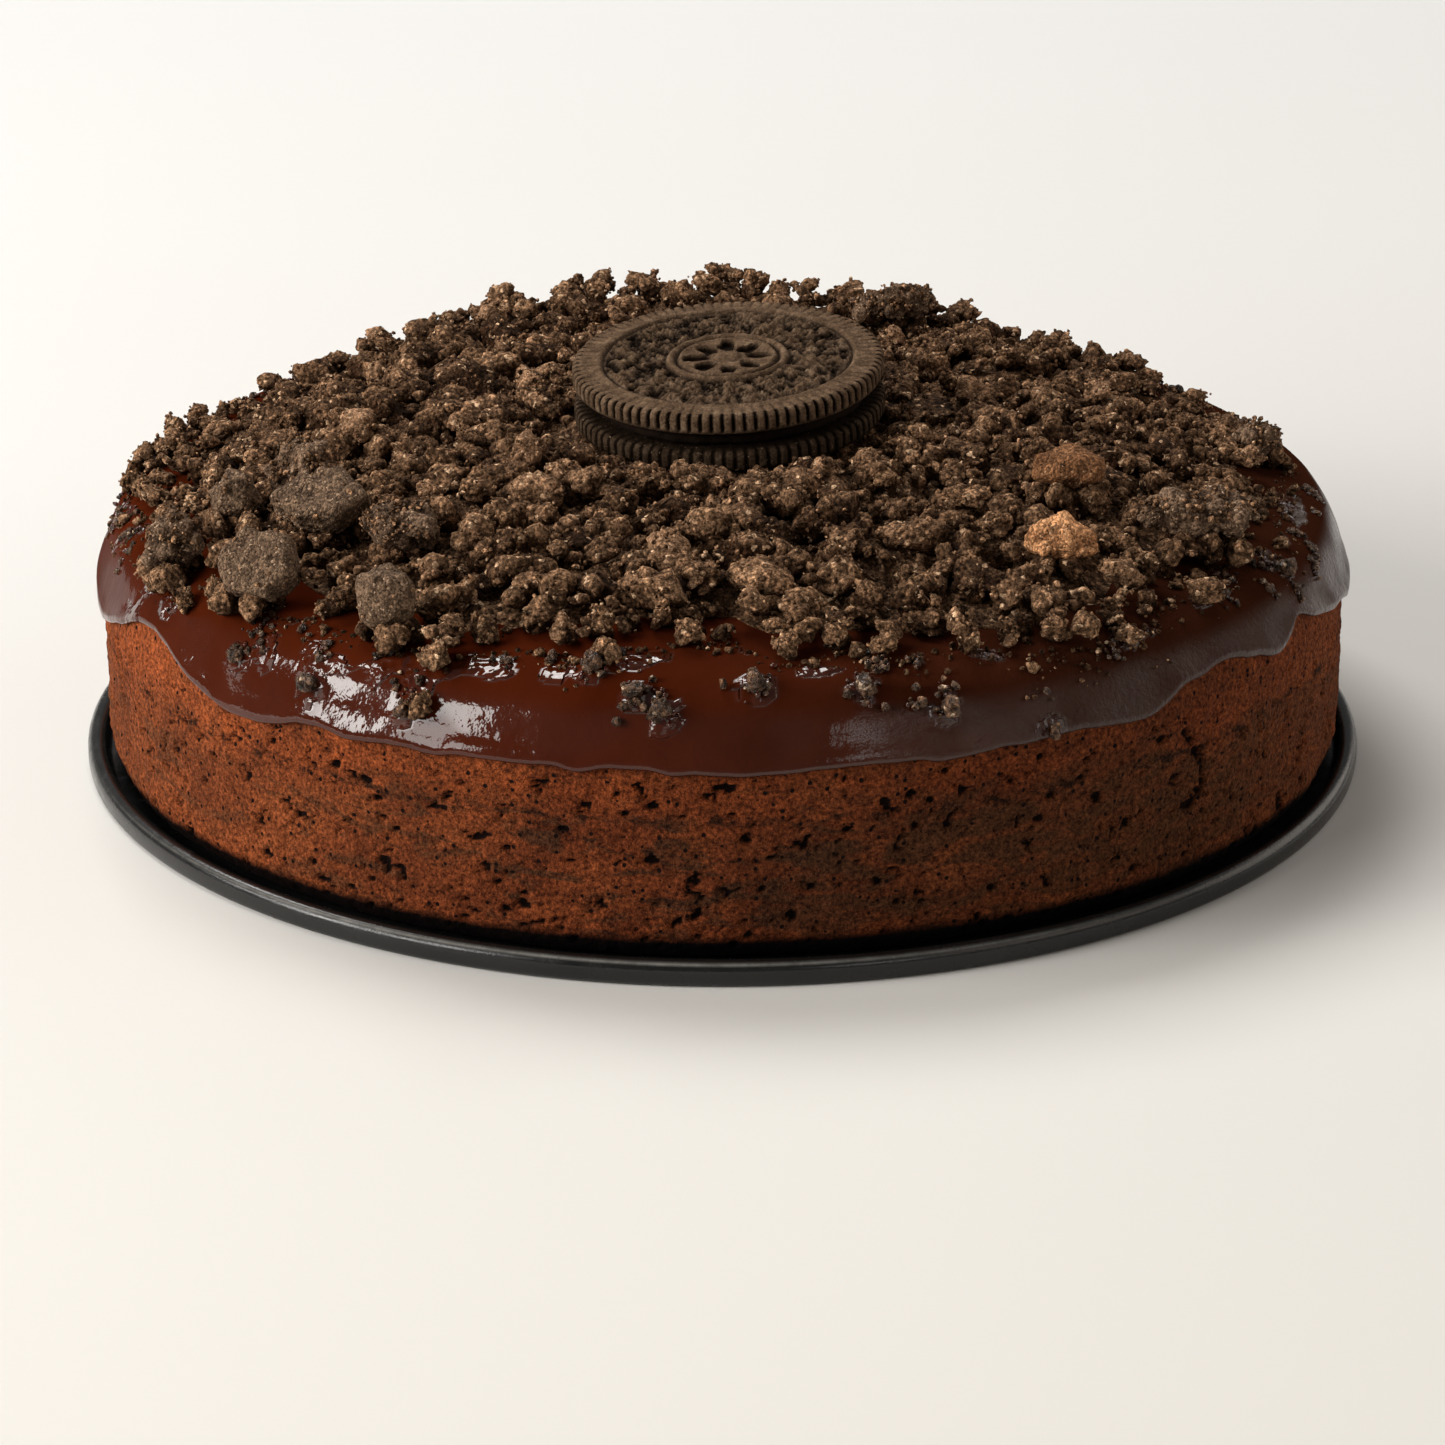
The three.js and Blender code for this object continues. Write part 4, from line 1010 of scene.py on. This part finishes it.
def triples(items, field, kind=np.float64):
    """The three numbers that a field holds for each of a mesh's items."""
    values = np.zeros(len(items) * 3, kind)
    items.foreach_get(field, values)
    return values.reshape(-1, 3)


def fine_copy(node, voxel):
    """Points, normals and triangles of a CAD solid, remeshed evenly, in millimetres."""
    source = add_object("fragment_source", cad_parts[node].data.copy())
    remesh = source.modifiers.new("even", "REMESH")
    remesh.mode = "VOXEL"
    remesh.voxel_size = voxel * MM
    mesh = bpy.data.meshes.new_from_object(source.evaluated_get(bpy.context.evaluated_depsgraph_get()))
    mesh.calc_loop_triangles()
    points, normals = triples(mesh.vertices, "co") / MM, triples(mesh.vertices, "normal")
    faces = triples(mesh.loop_triangles, "vertices", np.int32)
    bpy.data.meshes.remove(mesh)
    bpy.data.objects.remove(source)
    return points, normals, faces


def fragment(node, kind, slot, seed):
    """A broken piece in the form of its solid: shards are chipped and rough ones lumpy."""
    points, normals, faces = fine_copy(node, FRAGMENT_VOXEL)
    if kind == "shard":
        chips = np.maximum(0, layered_noise(points, 3.2, seed, 2, 0.6) - 0.25)
        relief = 0.4 * layered_noise(points, 0.9, seed + 3, 2, 0.7)
        push = 0.35 * relief - 1.1 * chips + 0.4 * smooth_noise(points, 5, seed + 5)
    elif kind == "almond":
        relief = 0.35 * layered_noise(points, 3.4, seed, 3, 0.5)
        push = 0.7 * relief
    else:
        relief = 0.5 * billows(points, 3.0, seed, 3, 0.65)
        push = (0.9 if kind == "rough" else 0.6) * relief
    # Painted shade and highlight: raised parts of the relief lighter, its hollows darker
    tone = np.clip(0.5 + relief, 0, 1)
    made = points + normals * push[:, None]
    make_piece(f"{node}_broken", made, faces, MATERIALS[kind], slot, [node], tone=tone)
    return points


# Heap of crumbs

def cookie_underside(x, y):
    """Height of the whole cookie's flat underside over a place."""
    rise = (y - COOKIE_PLACE[1]) * math.tan(COOKIE_TIP) + (x - COOKIE_PLACE[0]) * math.tan(COOKIE_LEAN)
    return COOKIE_PLACE[2] + rise


def beside_cookie(x, y):
    """How far outside the whole cookie's rim a place lies."""
    return np.hypot(x - COOKIE_PLACE[0], y - COOKIE_PLACE[1]) - COOKIE_RADIUS


def clear_of_cookie(x, y, z, size):
    """Whether a lump neither touches the cookie nor lies on it."""
    return (beside_cookie(x, y) > 0.42 * size) | (z + 0.45 * size < cookie_underside(x, y))


def to_the_back(y):
    """From 0 in front to 1 at the back, where the heap is deeper."""
    return smooth_step(y, -25, 60)


def bed_reach(azimuth):
    """How far out the granular ground of the heap lies."""
    margin = BED_MARGIN + (BED_BACK_MARGIN - BED_MARGIN) * to_the_back(HEAP_RADIUS * np.sin(azimuth))
    return heap_radius(azimuth) - margin


def heap_depth(x, y):
    """How deep the crumbs may lie on the glaze: deepest at the back, and thin in front of the cookie."""
    edge_depth = HEAP_EDGE_DEPTH + lobes_at(np.arctan2(y, x), HEAP_EDGE_LOBES)
    towards_edge = smooth_step(np.hypot(x, y), 52, 76)
    depth = HEAP_DEPTH + (edge_depth - HEAP_DEPTH) * towards_edge
    depth = depth + HEAP_UNEVENNESS * layered_noise(stacked(x, y, 0.0), 11, 115, 2, 0.6)
    near = (1 - smooth_step(beside_cookie(x, y), 0, 9)) * (1 - 0.6 * smooth_step(y, -8, 12))
    return depth - (depth - DEPTH_AT_COOKIE) * near


def bed_depth(x, y):
    """How deep the granular ground of the heap lies on the glaze, with its bumps."""
    radius = np.hypot(x, y)
    inside = smooth_step(bed_reach(np.arctan2(y, x)) - radius, 0, BED_EDGE)
    share = BED_SHARE + (BED_BACK_SHARE - BED_SHARE) * to_the_back(y)
    bumps = BED_RELIEF * billows(stacked(x, y, 0.0), 6.5, 101, 4, 0.72)
    depth = inside * np.maximum(share * heap_depth(x, y) + bumps, 0.2)
    room = cookie_underside(x, y) - glaze_height(radius) - 0.3
    return np.where(beside_cookie(x, y) < 1, np.minimum(depth, room), depth)


def bed():
    """The ground of the heap, from which the separate crumbs rise, with its finest crumbs in relief."""
    azimuth = azimuths(BED_COLUMNS)
    reach = bed_reach(azimuth) + 0.5
    parts = np.array([0.02, *np.linspace(0.1, 1, BED_ROWS)])
    top = parts[::-1, None] * reach
    under = np.array([0.02, 0.5, 1.0])[:, None] * reach
    radius = np.concatenate([under, top])
    depth = bed_depth(top * np.cos(azimuth), top * np.sin(azimuth))
    height = glaze_height(radius)
    height[: len(under)] -= 0.6
    height[len(under):] += np.maximum(depth, 0.05)
    points, faces = turned(radius, height)
    tone = np.clip(0.3 + 0.3 * billows(points * [1, 1, 0], 1.6, 103, 2, 0.6), 0, 1)
    make_piece("crumb_bed", points, faces, MATERIALS["crumbs"], "crumbs", ["crumb_topping"], tone=tone)
    return points[len(under) * BED_COLUMNS:-2]


class Pile:
    """The heap as it grows: how high it stands, and how high it may reach, over each cell of a grid."""

    def __init__(self):
        self.axis = np.arange(-PILE_REACH, PILE_REACH + PILE_CELL, PILE_CELL)
        x, y = np.meshgrid(self.axis, self.axis, indexing="ij")
        glaze_top = glaze_height(np.minimum(np.hypot(x, y), GLAZE_BRIM))
        self.height = glaze_top + bed_depth(x, y)
        self.limit = glaze_top + heap_depth(x, y)
        self.spare = smooth_step(beside_cookie(x, y), 3, 12)
        self.taken = np.zeros(self.height.shape, bool)

    def cells(self, points):
        """Rows and columns of the cells under some points, as an index into the grid."""
        return tuple(np.searchsorted(self.axis, points[:, :2]).T)

    def window(self, x, y, half_width, half_height):
        """The cells under a round lump, and how far it reaches up and down over each."""
        low = np.searchsorted(self.axis, [x - half_width, y - half_width])
        high = np.searchsorted(self.axis, [x + half_width, y + half_width])
        near = (slice(low[0], high[0]), slice(low[1], high[1]))
        across = (self.axis[near[0]][:, None] - x) ** 2 + (self.axis[near[1]][None, :] - y) ** 2
        inside = 1 - across / half_width ** 2
        return near, np.where(inside > 0, half_height * np.sqrt(np.maximum(inside, 0)), NOT_OVER)

    def rest(self, x, y, half_width, half_height):
        """The lowest height at which the middle of a lump can lie."""
        near, rise = self.window(x, y, half_width, half_height)
        return (self.height[near] + rise).max()

    def add(self, x, y, z, half_width, half_height):
        near, rise = self.window(x, y, half_width, half_height)
        self.height[near] = np.maximum(self.height[near], z + rise)

    def exposure(self, points):
        """How far each point stands over the heap's smoothed surface: from -1 in a gap to 1 on a tip."""
        level = self.height
        for _ in range(PILE_SMOOTHING):
            beside = [np.roll(level, step, axis) for step in (-1, 1) for axis in (0, 1)]
            level = (level + sum(beside)) / 5
        return np.clip((points[:, 2] - level[self.cells(points)] + 0.5) / 2, -1, 1)

    def blocked(self, x, y, half_width):
        """Whether a lump would cover one of the big fragments."""
        near, rise = self.window(x, y, 0.75 * half_width, half_width)
        return self.taken[near][rise > 0].any()

    def add_solid(self, points):
        """Raises the pile to a solid's own points, and keeps crumbs from being dropped on it."""
        np.maximum.at(self.height, self.cells(points), points[:, 2])
        self.taken[self.cells(points)] = True

    def shown(self, points):
        """The points that aren't far below the topmost ones of their cell."""
        cells = self.cells(points)
        top = np.full(self.height.shape, -np.inf)
        np.maximum.at(top, cells, points[:, 2])
        return points[points[:, 2] > top[cells] - GRAIN_REACH]


def lump_shape(draw, count, roughness, cuts, layers):
    """An irregular lump in a ball of radius 1, with flat broken sides, and how far each point stands out."""
    points, faces = ball(count)
    away = draw.uniform(20, 90, 3)
    crags = billows(points + away, 0.85, 4, layers, 0.6)
    scale = 1 + roughness * (0.42 * smooth_noise(points + away, 1.0, 1) + 0.17 * crags)
    points = points * scale[:, None]
    for _ in range(cuts):
        facing = draw.normal(size=3)
        facing /= np.linalg.norm(facing)
        over = np.maximum(points @ facing - draw.uniform(0.5, 0.8), 0)
        points = points - over[:, None] * facing
    return points / np.abs(points).max(axis=0), faces, crags


def lump_shapes(draw, number, count, roughness, cuts, layers):
    """A number of lumps of so many points each. The broken sides run from none up, over and over."""
    return [lump_shape(draw, count, roughness, lump % cuts, layers) for lump in range(number)]


def turn_matrices(first, tilt, last):
    """Rotations made of a turn about Z, a tilt about X and a second turn about Z."""
    zero, one = np.zeros_like(tilt), np.ones_like(tilt)

    def matrices(*rows):
        return np.moveaxis(np.array(rows), -1, 0)

    def about_z(angle):
        across, along = np.cos(angle), np.sin(angle)
        return matrices([across, -along, zero], [along, across, zero], [zero, zero, one])

    across, along = np.cos(tilt), np.sin(tilt)
    tilted = matrices([one, zero, zero], [zero, across, -along], [zero, along, across])
    return about_z(last) @ tilted @ about_z(first)


def scatter(name, shapes, lumps, draw, pile, material="crumbs", smooth=True, slot="crumbs"):
    """One mesh that holds a lump for each row of x, y, z, length, width, height and tone."""
    lumps = np.array(lumps)
    count = len(lumps)
    turns = turn_matrices(
        draw.uniform(0, 2 * math.pi, count), draw.normal(0, 0.35, count), draw.uniform(0, 2 * math.pi, count)
    )
    chosen = draw.integers(0, len(shapes), count)
    all_points, all_faces, all_tones, offset = [], [], [], 0
    for number, (shape, faces, crags) in enumerate(shapes):
        mine = np.flatnonzero(chosen == number)
        sized = shape[None] * (lumps[mine, 3:6] / 2)[:, None, :]
        placed = np.einsum("nij,npj->npi", turns[mine], sized) + lumps[mine, :3][:, None, :]
        all_points.append(placed.reshape(-1, 3))
        steps = offset + np.arange(len(mine)) * len(shape)
        all_faces.append((faces[None] + steps[:, None, None]).reshape(-1, 3))
        # Painted shade in the lumps' creases, and lighter bumps
        all_tones.append((lumps[mine, 6][:, None] + PAINTED_SHADE_OF_CRAGS * crags[None]).ravel())
        offset += len(mine) * len(shape)
    points = np.concatenate(all_points)
    # Painted shade and highlight: points down in the heap's gaps are darker, and those standing out lighter
    tone = np.clip(np.concatenate(all_tones) + PAINTED_SHADE_OF_EXPOSURE * pile.exposure(points), 0, 1)
    make_piece(name, points, np.concatenate(all_faces), MATERIALS[material], slot, smooth=smooth, tone=tone)
    return points


def drop_crumbs(pile, draw, count, sizes, tries, past_edge, sink, rise=0.0):
    """Drops lumps one by one, the largest first, each in the lowest of a few places tried.

    They reach past the heap's edge and sink into what they lie on, and may rise over its usual depth.
    """
    size = sizes[0] + (sizes[1] - sizes[0]) * (np.arange(count) / count) ** 0.8
    shape = size[:, None] * stacked(1.0, draw.uniform(0.7, 1, count), draw.uniform(0.55, 0.85, count))
    azimuth = draw.uniform(-math.pi, math.pi, (count, tries))
    short_of_edge = np.abs(draw.normal(0, 2.2, azimuth.shape))
    edge = heap_radius(azimuth) + past_edge - 0.5 * size[:, None] - short_of_edge
    radius = edge * np.sqrt(draw.random(azimuth.shape))
    x, y = radius * np.cos(azimuth), radius * np.sin(azimuth)
    # Painted shade: crumbs darker to the right, away from the key lamps, and a little darker to the left and
    # at the back
    painted_shade = (0.3 * np.maximum(x[:, 0], 0) + 0.1 * np.maximum(-x[:, 0], 0) + 0.04 * y[:, 0]) / HEAP_RADIUS
    tone = 0.31 - painted_shade + draw.normal(0, 0.13, count)
    dropped = []
    for lump in range(count):
        half_width, half_height = shape[lump, :2].mean() / 2, shape[lump, 2] / 2
        most_room, best = -math.inf, None
        for place in zip(x[lump], y[lump]):
            if pile.blocked(*place, half_width):
                continue
            cell = tuple(np.searchsorted(pile.axis, place))
            lying = pile.rest(*place, half_width, half_height) - sink * shape[lump, 2]
            z = min(lying, pile.limit[cell] + rise * pile.spare[cell] - half_height)
            buried = lying - z > TALLEST_BURIED * shape[lump, 2]
            if buried or not clear_of_cookie(*place, z, size[lump]):
                continue
            if pile.limit[cell] - z > most_room:
                most_room, best = pile.limit[cell] - z, (*place, z)
        if best:
            pile.add(*best, half_width, half_height)
            dropped.append([*best, *shape[lump], tone[lump]])
    return dropped


def lay_crumbs(pile, draw, crumbs, sink):
    """Lays crumbs on top of the heap, each with its place, size and tone, and sinks them a little."""
    laid = []
    for x, y, size, tone in crumbs:
        shape = size * np.array([1, draw.uniform(0.75, 0.95), draw.uniform(0.6, 0.8)])
        half_width, half_height = shape[:2].mean() / 2, shape[2] / 2
        z = pile.rest(x, y, half_width, half_height) - sink * shape[2]
        pile.add(x, y, z, half_width, half_height)
        laid.append([x, y, z, *shape, tone])
    return laid


def grains_on(points, draw, count, sizes, bright):
    """Grains stuck all over the surfaces given. A share of them is bright, and the others are dark."""
    places = points[draw.integers(0, len(points), count)] + draw.normal(0, 0.2, (count, 3))
    size = sizes[0] + (sizes[1] - sizes[0]) * draw.random(count) ** 1.6
    shape = size[:, None] * draw.uniform(0.6, 1.0, (count, 3))
    share = bright * (1 - 0.6 * to_the_back(places[:, 1])) * (1 - 0.4 * smooth_step(places[:, 0], 5, 50))
    is_bright = draw.random(count) < share
    tone = np.where(is_bright, draw.uniform(0.7, 1.1, count), draw.uniform(-0.1, 0.5, count))
    made = np.concatenate([places, shape, tone[:, None]], axis=1)
    return made[clear_of_cookie(*places.T, size)]


def on_glaze(draw, x, y, size, sink):
    """Lumps lying on the bare glaze, wherever its slope is."""
    lift = size * (0.4 - sink)
    places = stacked(x, y, glaze_height(np.hypot(x, y))) + glaze_normal(x, y) * lift[:, None]
    shape = size[:, None] * draw.uniform(0.65, 1.0, (len(size), 3))
    tone = np.clip(draw.normal(0.08, 0.16, len(size)), 0, 1)
    return np.concatenate([places, shape, tone[:, None]], axis=1)


def cluster(draw, centres, count, sizes):
    """Small crumbs round each centre, which has a row of x, y and size."""
    around = np.repeat(centres, count, axis=0)
    turn = draw.uniform(0, 2 * math.pi, len(around))
    away = around[:, 2] * np.abs(draw.normal(0.3, 0.35, len(around)))
    x = around[:, 0] + away * np.cos(turn)
    y = around[:, 1] + away * np.sin(turn)
    keep = np.hypot(x, y) < GLAZE_BRIM - 1.5
    size = draw.uniform(*sizes, len(around))
    return on_glaze(draw, x[keep], y[keep], size[keep], 0.15)


def strays(draw, count):
    """Places and sizes of small clusters that lie on the glaze beyond the edge of the heap."""
    azimuth = draw.uniform(-math.pi, math.pi, count)
    radius = np.minimum(heap_radius(azimuth) + np.abs(draw.normal(0, 3.0, count)), GLAZE_BRIM - 2.5)
    return polar(radius, azimuth, draw.uniform(1.2, 2.8, count))


def fine_specks(draw, count):
    """Fine crumbs half sunk in the glaze along the edge of the heap."""
    azimuth = draw.uniform(-math.pi, math.pi, count)
    spread_out = 2.6 + 1.8 * smooth_noise(polar(60, azimuth), 14, 111)
    past_edge = np.abs(draw.normal(0, spread_out, count)) - 1.5
    radius = np.minimum(heap_radius(azimuth) + past_edge, GLAZE_BRIM - 2)
    size = 0.35 + 0.9 * draw.random(count) ** 2.2
    return on_glaze(draw, radius * np.cos(azimuth), radius * np.sin(azimuth), size, 0.3)


def crumbs_under(points, pile, draw):
    """Crumbs that fill the gap between the underside of a big fragment and the ground below it."""
    low = points[points[:, 2] < np.quantile(points[:, 2], 0.35)]
    places = low[draw.integers(0, len(low), UNDER_COUNT)]
    gap = places[:, 2] - pile.height[pile.cells(places)]
    places[:, 2] -= gap / 2
    size = np.clip(gap + 0.8, 1.5, 5)
    shape = size[:, None] * draw.uniform(0.75, 1.0, (len(size), 3))
    tone = draw.uniform(0.1, 0.4, (len(size), 1))
    return np.concatenate([places, shape, tone], axis=1)[gap > UNDER_GAP].tolist()


def edge_crumbs(pile, draw):
    """Crumbs that lie on the glaze at the heap's edge."""
    crumbs = np.array(EDGE_CRUMBS)
    laid = on_glaze(draw, *crumbs[:, :3].T, 0.1)
    laid[:, 6] = crumbs[:, 3]
    for x, y, z, length, width, height, _ in laid:
        pile.add(x, y, z, (length + width) / 4, height / 2)
    return laid.tolist()


def big_fragments(pile, draw):
    """Makes the big fragments. Gives the points where grains may stick, and the crumbs under them."""
    crumbly, under = [], []
    for number, kind in enumerate(FRAGMENT_KINDS, 1):
        flat = number <= WAFER_FRAGMENTS
        node = f"wafer_fragment_{number}" if flat else f"nugget_fragment_{number}"
        points = fragment(node, kind, "cookie_wafer" if flat else "brown_nugget", 120 + 7 * number)
        under += crumbs_under(points, pile, draw)
        pile.add_solid(points)
        low = points[points[:, 2] < np.quantile(points[:, 2], 0.4)]
        crumbly.append(points if kind == "rough" else np.concatenate([low[::3], points[::14]]))
    return crumbly, under


def on_bare_glaze(pile, draw, small_shapes, fine_shapes, grain_shapes):
    """Crumbs that stick to the glaze outside the heap, with wet drops of glaze round them."""
    loose = np.array(LOOSE_CRUMBS)
    stray = strays(draw, 70)
    big = on_glaze(draw, *loose.T, 0.1)
    small = np.concatenate([cluster(draw, loose, 14, (0.6, 1.9)), cluster(draw, stray, 7, (0.5, 1.7))])
    drops = np.concatenate([cluster(draw, loose, 12, (0.5, 1.3)), cluster(draw, stray, 4, (0.4, 1.1))])
    drops[:, 6] = 1
    scatter("loose_crumbs", small_shapes, big, draw, pile, "wet", smooth=False)
    scatter("wet_crumbs", fine_shapes, small, draw, pile, "wet", smooth=False)
    scatter("glaze_drops", grain_shapes, drops, draw, pile, "glaze", slot="glaze")
    scatter("glaze_specks", grain_shapes, fine_specks(draw, 1600), draw, pile, smooth=False)


def heap():
    """The whole heap, from the big fragments and the ground up to the finest sand on top."""
    draw = np.random.default_rng(HEAP_SEED)
    pile = Pile()
    medium = edge_crumbs(pile, draw)
    surfaces, under = big_fragments(pile, draw)
    ground = bed()
    small = drop_crumbs(pile, draw, 260, (5.5, 3.6), 2, 0.5, 0.4)
    large = drop_crumbs(pile, draw, 95, (12.0, 8.5), 3, -5.0, 0.36, 0.8)
    medium += drop_crumbs(pile, draw, 190, (8.5, 5.5), 3, -1.5, 0.34, 0.8)
    pale = lay_crumbs(pile, draw, PALE_CRUMBS, 0.5)
    small += drop_crumbs(pile, draw, 320, (5.5, 3.0), 3, 1.5, 0.34)
    fine = drop_crumbs(pile, draw, 1000, (3.0, 1.5), 2, 2.5, 0.36, -0.5)
    large_shapes = lump_shapes(draw, 16, 900, 1.0, 5, 4)
    medium_shapes = lump_shapes(draw, 18, 380, 1.1, 5, 3)
    small_shapes = lump_shapes(draw, 20, 130, 1.15, 4, 3)
    fine_shapes = lump_shapes(draw, 16, 44, 1.2, 3, 2)
    grain_shapes = lump_shapes(draw, 10, 12, 1.0, 1, 1)
    sand_shapes = lump_shapes(draw, 10, 8, 1.0, 1, 1)
    surfaces += [
        scatter("crumbs_large", large_shapes, large, draw, pile),
        scatter("crumbs_medium", medium_shapes, medium, draw, pile),
        scatter("crumbs_small", small_shapes, small, draw, pile),
        scatter("crumbs_under", small_shapes, under, draw, pile),
        scatter("crumbs_fine", fine_shapes, fine, draw, pile),
        ground[draw.random(len(ground)) < 0.4 * np.hypot(ground[:, 0], ground[:, 1]) / HEAP_RADIUS],
        scatter("crumbs_pale", medium_shapes, pale, draw, pile, "pale"),
    ]
    shown = pile.shown(np.concatenate(surfaces))
    grit = grains_on(shown, draw, 6500, (0.7, 1.3), 0.14)
    sand = grains_on(shown, draw, 16000, (0.4, 0.85), 0.2)
    scatter("crumb_grains", grain_shapes, grit, draw, pile, smooth=False)
    scatter("crumb_sand", sand_shapes, sand, draw, pile, smooth=False)
    on_bare_glaze(pile, draw, small_shapes, fine_shapes, grain_shapes)


# Stage

def add_floor():
    corners = [(x * FLOOR_REACH, y * FLOOR_REACH, 0) for x, y in ((-1, -1), (1, -1), (1, 1), (-1, 1))]
    mesh = bpy.data.meshes.new("floor")
    mesh.from_pydata(corners, [], [(0, 1, 2, 3)])
    mesh.materials.append(floor_material())
    floor = add_object("floor", mesh)
    floor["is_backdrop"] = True


def add_lamp(name, azimuth, elevation, distance, size, power, colour, mirrored):
    """A soft rectangular lamp that faces the cake. Its mirror image can be left out of shiny surfaces."""
    data = bpy.data.lights.new(name, "AREA")
    data.shape = "RECTANGLE"
    data.size, data.size_y = size
    data.energy = power
    data.color = colour
    lamp = add_object(name, data)
    turn, rise = azimuth * DEGREE, elevation * DEGREE
    x, y, z = polar(distance * math.cos(rise), turn, distance * math.sin(rise))
    lamp.location = (x, y, z + LAMP_AIM_HEIGHT)
    lamp.rotation_euler = (math.pi / 2 - rise, 0, turn + math.pi / 2)
    lamp.visible_glossy = mirrored


def add_world():
    world = bpy.data.worlds.new("studio")
    bpy.context.scene.world = world
    world.use_nodes = True
    background = world.node_tree.nodes["Background"]
    background.inputs["Color"].default_value = WORLD_COLOUR
    background.inputs["Strength"].default_value = WORLD_STRENGTH


def add_camera():
    data = bpy.data.cameras.new("camera")
    data.lens = LENS
    data.sensor_width = SENSOR_WIDTH
    camera = add_object("camera", data)
    distance = CAMERA_DISTANCE * MM
    camera.location = (0, -distance * math.cos(CAMERA_ELEVATION), distance * math.sin(CAMERA_ELEVATION))
    camera.rotation_euler = (math.pi / 2 - CAMERA_PITCH, 0, 0)
    bpy.context.scene.camera = camera


add_camera()
bpy.context.scene.view_settings.view_transform = "Standard"
tin_base()
sponge()
glaze()
cookie()
heap()
add_floor()
add_world()
for lamp in LAMPS:
    add_lamp(*lamp)

boxes = {"cad": cad_box, "visual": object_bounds()}
{name: [list(corner) for corner in box] for name, box in boxes.items()}
